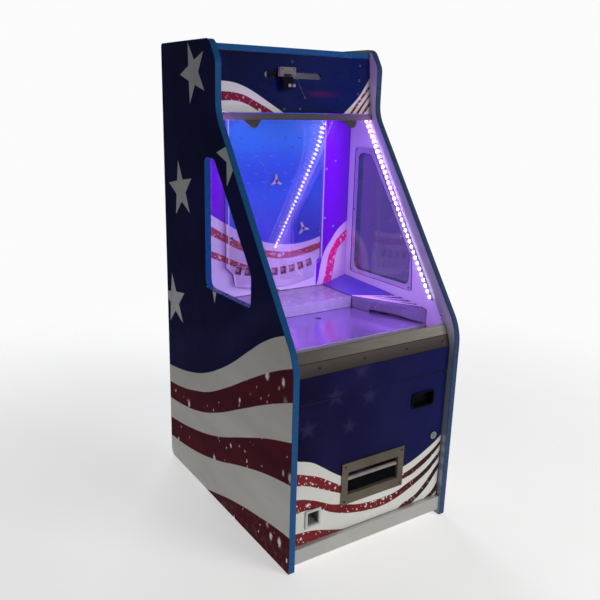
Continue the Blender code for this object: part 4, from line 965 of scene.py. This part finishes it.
screws("inlet_plate_screws", [((x, 0.4246, z), (0, 1, 0)) for x in (-.2065, -.1185) for z in (.0885, .1415)], "cabinet", "cross", 0.0022, height=0.0008)

# Coin inlet: rivets on the block, two bright studs on the grip and the pointer rod
screws("inlet_rivets", [((x, 0.0529, 1.4240), (0, -1, 0)) for x in (-.067, -.025)], "inlet", "dome", 0.0026, "chrome", 0.0012)
bm = bmesh.new()
for px in (-.0500, -.0345):
    lathe(bm, (px, 0.0361, 1.3760), (0, -1, 0), [(0.0058, -0.0004), (0.0058, 0.0006), (0.0052, 0.0026), (0.0036, 0.0042), (0.0016, 0.0049), (0, 0.0050)], 24)
piece("grip_studs", bm, "plated", "inlet")
line = bpy.data.curves.new("inlet_pointer", "CURVE")
line.dimensions = "3D"
line.bevel_depth = 0.0011
line.bevel_resolution = 3
line.use_fill_caps = True
spline = line.splines.new("BEZIER")
route = ((-.0240, .0560, 1.4040), (-.0205, .0490, 1.4010), (-.0120, .0450, 1.3840), (.0030, .0430, 1.3560), (.0120, .0430, 1.3410))
spline.bezier_points.add(len(route) - 1)
for spot, at in zip(spline.bezier_points, route):
    spot.co = at
    spot.handle_left_type = spot.handle_right_type = "AUTO"
line.materials.append(M["chrome"])
pointer = bpy.data.objects.new("inlet_pointer", line)
bpy.context.scene.collection.objects.link(pointer)
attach(pointer, "inlet")
bm = bmesh.new()
lathe(bm, (.0120, .0430, 1.3410), (.45, 0, -.9), [(0.0011, -0.0020), (0.0026, 0.0), (0.0030, 0.0020), (0.0022, 0.0038), (0, 0.0044)], 14)
piece("pointer_tip", bm, "chrome", "inlet")

# Lock: face, key slot and raised ring
lx, lz = 0.2480, 0.3000
bm = bmesh.new()
lathe(bm, (lx, -0.4084, lz), (0, -1, 0), [(0.0062, -0.0010), (0.0062, 0.0002), (0.0057, 0.0007), (0.0040, 0.0008), (0.0038, 0.0005), (0, 0.0005)], 28)
piece("lock_face", bm, "plated", "lock")
bm = bmesh.new()
slab(bm, (lx - 0.0008, -0.4096, lz - 0.0036), (lx + 0.0008, -0.4086, lz + 0.0036), 0.0003)
piece("lock_keyway", bm, "black", "lock", 30)
bm = bmesh.new()
lathe(bm, (lx, -0.4074, lz), (0, -1, 0), [(0.0129, -0.0002), (0.0126, 0.0012), (0.0112, 0.0020), (0.0088, 0.0021), (0.0074, 0.0012), (0.0070, -0.0004)], 32)
piece("lock_ring", bm, "plated", "door")

# Door pull: raised lip round the cup. Return cup: slim lip and a small push flap behind it
bm = bmesh.new()


def ring(bm, x0, z0, x1, z1, y, width, rise, round_by=0.006):
    """A rounded rectangular bead standing out of the plane y towards -Y."""
    def corner(cx, cz, start, r):
        return [(cx + r * math.cos(start + math.pi / 2 * k / 5), cz + r * math.sin(start + math.pi / 2 * k / 5)) for k in range(6)]

    def loop(inset):
        r = max(0.0012, round_by - inset * 0.6)
        a0, a1, b0, b1 = x0 + inset, x1 - inset, z0 + inset, z1 - inset
        return (corner(a1 - r, b1 - r, 0, r) + corner(a0 + r, b1 - r, math.pi / 2, r)
                + corner(a0 + r, b0 + r, math.pi, r) + corner(a1 - r, b0 + r, 1.5 * math.pi, r))

    rows = []
    for inset, out in ((0.0, 0.0), (width * 0.15, rise * 0.7), (width * 0.5, rise), (width * 0.85, rise * 0.7), (width, 0.0)):
        rows.append([bm.verts.new((u, y - out, v)) for u, v in loop(inset)])
    rows.append(rows[0])
    for a, b in zip(rows, rows[1:]):
        for k in range(len(a)):
            bm.faces.new((a[k], a[(k + 1) % len(a)], b[(k + 1) % len(b)], b[k]))


ring(bm, 0.1432, 0.4122, 0.2378, 0.4658, -0.4069, 0.0058, 0.0022, 0.0125)
piece("pull_bead", bm, "black", "door", 60)
bm = bmesh.new()
ring(bm, -0.2448, 0.1192, -0.1892, 0.1788, -0.4079, 0.0078, 0.0020)
piece("cup_bead", bm, "cup", "door", 60)
bm = bmesh.new()
slab(bm, (-0.2350, -0.3800, 0.1450), (-0.1990, -0.3785, 0.1685), 0.0006)
slab(bm, (-0.2230, -0.3815, 0.1560), (-0.2110, -0.3800, 0.1600), 0.0005)
piece("cup_shutter", bm, "grey", "door", 30)

# Mains socket pins
bm = bmesh.new()
for px, pz in ((-.1845, .1185), (-.1915, .1090), (-.1775, .1090)):
    slab(bm, (px - 0.0010, 0.4002, pz - 0.0022), (px + 0.0010, 0.4170, pz + 0.0022), 0.0004)
piece("socket_pins", bm, "chrome", "cabinet", 30)

# Coin-slot lip
bm = bmesh.new()
ring(bm, -0.0620, 1.4030, -0.0300, 1.4097, 0.0530, 0.0013, 0.0007)
piece("slot_lip", bm, "chrome", "inlet", 60)

# Indicator row: a raised frame for each window
bm = bmesh.new()
for k in range(-4, 5):
    wx = MID + 0.0355 * k
    drop = 0.7560 + 0.555 - math.sqrt(0.555 ** 2 - (wx - MID) ** 2)
    a = math.asin((wx - MID) / 0.555)
    ca, sa = math.cos(a), math.sin(a)
    rows = []
    for grow, out in ((-0.0004, 0.0), (-0.0002, 0.0011), (0.0008, 0.0013), (0.0016, 0.0)):
        hw, hh = 0.01225 + grow, 0.0140 + grow
        rows.append([bm.verts.new((wx + u * ca - v * sa, 0.1450 - out, drop + u * sa + v * ca)) for u, v in ((-hw, -hh), (hw, -hh), (hw, hh), (-hw, hh))])
    for p, q in zip(rows, rows[1:]):
        for j in range(4):
            bm.faces.new((p[j], p[(j + 1) % 4], q[(j + 1) % 4], q[j]))
    for j in range(4):
        bm.faces.new((rows[0][j], rows[0][(j + 1) % 4], rows[-1][(j + 1) % 4], rows[-1][j]))
piece("indicator_frames", bm, "white", "cabinet", 30)

# ------------------------------------------------------------------ floor, light and air
floor_mesh = bpy.data.meshes.new("floor")
bm = bmesh.new()
rings = [[bm.verts.new((r * math.cos(2 * math.pi * k / 96), r * math.sin(2 * math.pi * k / 96), 0)) for k in range(96)] for r in (1.0, 2.2, 4.5)]
centre = bm.verts.new((0, 0, 0))
for k in range(96):
    n = (k + 1) % 96
    bm.faces.new((centre, rings[0][k], rings[0][n]))
    for a, b in zip(rings, rings[1:]):
        bm.faces.new((a[k], b[k], b[n], a[n]))
bm.to_mesh(floor_mesh)
bm.free()
floor = bpy.data.objects.new("floor", floor_mesh)
floor.location = (0, 0, -0.0005)
bpy.context.scene.collection.objects.link(floor)
floor.visible_glossy = False
ground = Mat("floor_surface", spec=0.0, emit=(1, 1, 1), emit_by=0.50)
ground.set("color", ground.mix(ground.remap(ground.noise(3.0, 4.0, 0.6), 0.3, 0.7), (0.84, 0.84, 0.84), (0.88, 0.88, 0.88)))
ground.set("rough", ground.remap(ground.noise(14.0, 4.0, 0.6), 0.3, 0.7, 0.55, 0.70))
gx, gy, gz = ground.xyz()
away = ground.m("SQRT", ground.add(ground.mul(gx, gx), ground.mul(gy, gy)))
fade = ground.remap(away, 0.85, 2.6, 0.0, 1.0, smooth=True)
none = ground.node("ShaderNodeBsdfTransparent")
both = ground.node("ShaderNodeMixShader", Fac=fade)
ground.tree.links.new(ground.shader.outputs[0], both.inputs[1])
ground.tree.links.new(none.outputs[0], both.inputs[2])
ground.tree.links.new(both.outputs[0], ground.out.inputs["Surface"])
floor_mesh.materials.append(ground.mat)

world = bpy.data.worlds.new("studio")
bpy.context.scene.world = world
world.use_nodes = True
wt = world.node_tree
wt.nodes.clear()
w_out = wt.nodes.new("ShaderNodeOutputWorld")
w_mix = wt.nodes.new("ShaderNodeMixShader")
w_path = wt.nodes.new("ShaderNodeLightPath")
w_room = wt.nodes.new("ShaderNodeBackground")
w_seen = wt.nodes.new("ShaderNodeBackground")
w_room.inputs["Color"].default_value = (0.96, 0.97, 1.0, 1)
w_room.inputs["Strength"].default_value = 0.10
w_seen.inputs["Color"].default_value = (1.0, 1.0, 1.0, 1)
w_seen.inputs["Strength"].default_value = 0.97
w_past = wt.nodes.new("ShaderNodeBackground")
w_past.inputs["Color"].default_value = (0.150, 0.080, 0.420, 1)
w_past.inputs["Strength"].default_value = 0.75
w_deep = wt.nodes.new("ShaderNodeMath")
w_deep.operation = "GREATER_THAN"
w_deep.inputs[1].default_value = 3.5
wt.links.new(w_path.outputs["Transparent Depth"], w_deep.inputs[0])
w_view = wt.nodes.new("ShaderNodeMixShader")
wt.links.new(w_deep.outputs[0], w_view.inputs[0])
wt.links.new(w_seen.outputs[0], w_view.inputs[1])
wt.links.new(w_past.outputs[0], w_view.inputs[2])
w_dark = wt.nodes.new("ShaderNodeBackground")
w_dark.inputs["Color"].default_value = (0.85, 0.90, 1.0, 1)
w_dark.inputs["Strength"].default_value = 0.07
w_gloss = wt.nodes.new("ShaderNodeMixShader")
wt.links.new(w_path.outputs["Is Glossy Ray"], w_gloss.inputs[0])
wt.links.new(w_room.outputs[0], w_gloss.inputs[1])
wt.links.new(w_dark.outputs[0], w_gloss.inputs[2])
wt.links.new(w_path.outputs["Is Camera Ray"], w_mix.inputs[0])
wt.links.new(w_gloss.outputs[0], w_mix.inputs[1])
wt.links.new(w_view.outputs[0], w_mix.inputs[2])
wt.links.new(w_mix.outputs[0], w_out.inputs["Surface"])


def lamp(name, at, aim, size, power, color=(1, 1, 1), size_y=None, spread=180, glossy=True, shadow=True):
    light = bpy.data.lights.new(name, "AREA")
    light.shape = "RECTANGLE"
    light.size = size
    light.size_y = size_y or size
    light.energy = power
    light.color = color
    light.spread = math.radians(spread)
    obj = bpy.data.objects.new(name, light)
    obj.location = at
    obj.rotation_mode = "QUATERNION"
    obj.rotation_quaternion = (Vector(aim) - Vector(at)).to_track_quat("-Z", "Y")
    obj.visible_glossy = glossy
    bpy.context.scene.collection.objects.link(obj)
    return obj


lamp("key", (1.6, -3.4, 1.9), (0.0, -0.2, 0.55), 1.8, 62, (1.0, 0.985, 0.95), glossy=False)
lamp("rear", (0.9, 3.2, 2.0), (0.0, 0.2, 0.7), 1.8, 40, (0.97, 0.98, 1.0))

VIOLET = (0.56, 0.25, 1.0)
for side, tag in ((-1, "left"), (1, "right")):
    centre = Vector((side * 0.2800, (low_yz.x + high_yz.x) / 2, (low_yz.y + high_yz.y) / 2))
    strip = lamp(f"strip_light_{tag}", centre, centre + Vector((-side, 0, 0)), 0.010, 5.0, VIOLET, 0.64, 175, False)
    strip_axis = Vector((0, along.x, along.y))
    out = Vector((-side, 0.12, 0.0)).normalized()
    across_axis = strip_axis.cross(out).normalized()
    strip.rotation_mode = "QUATERNION"
    strip.rotation_quaternion = Matrix((strip_axis.cross(-out).normalized(), strip_axis, -out)).transposed().to_quaternion()
lamp("slot_light", (0.0, 0.200, 1.4500), (0.0, 0.400, 1.4000), 0.35, 0.10, (0.92, 0.95, 1.0), 0.02, 180, False)

view = bpy.context.scene.view_settings
view.view_transform = "Standard"
view.look = "None"
view.exposure = 0.0
view.gamma = 1.0
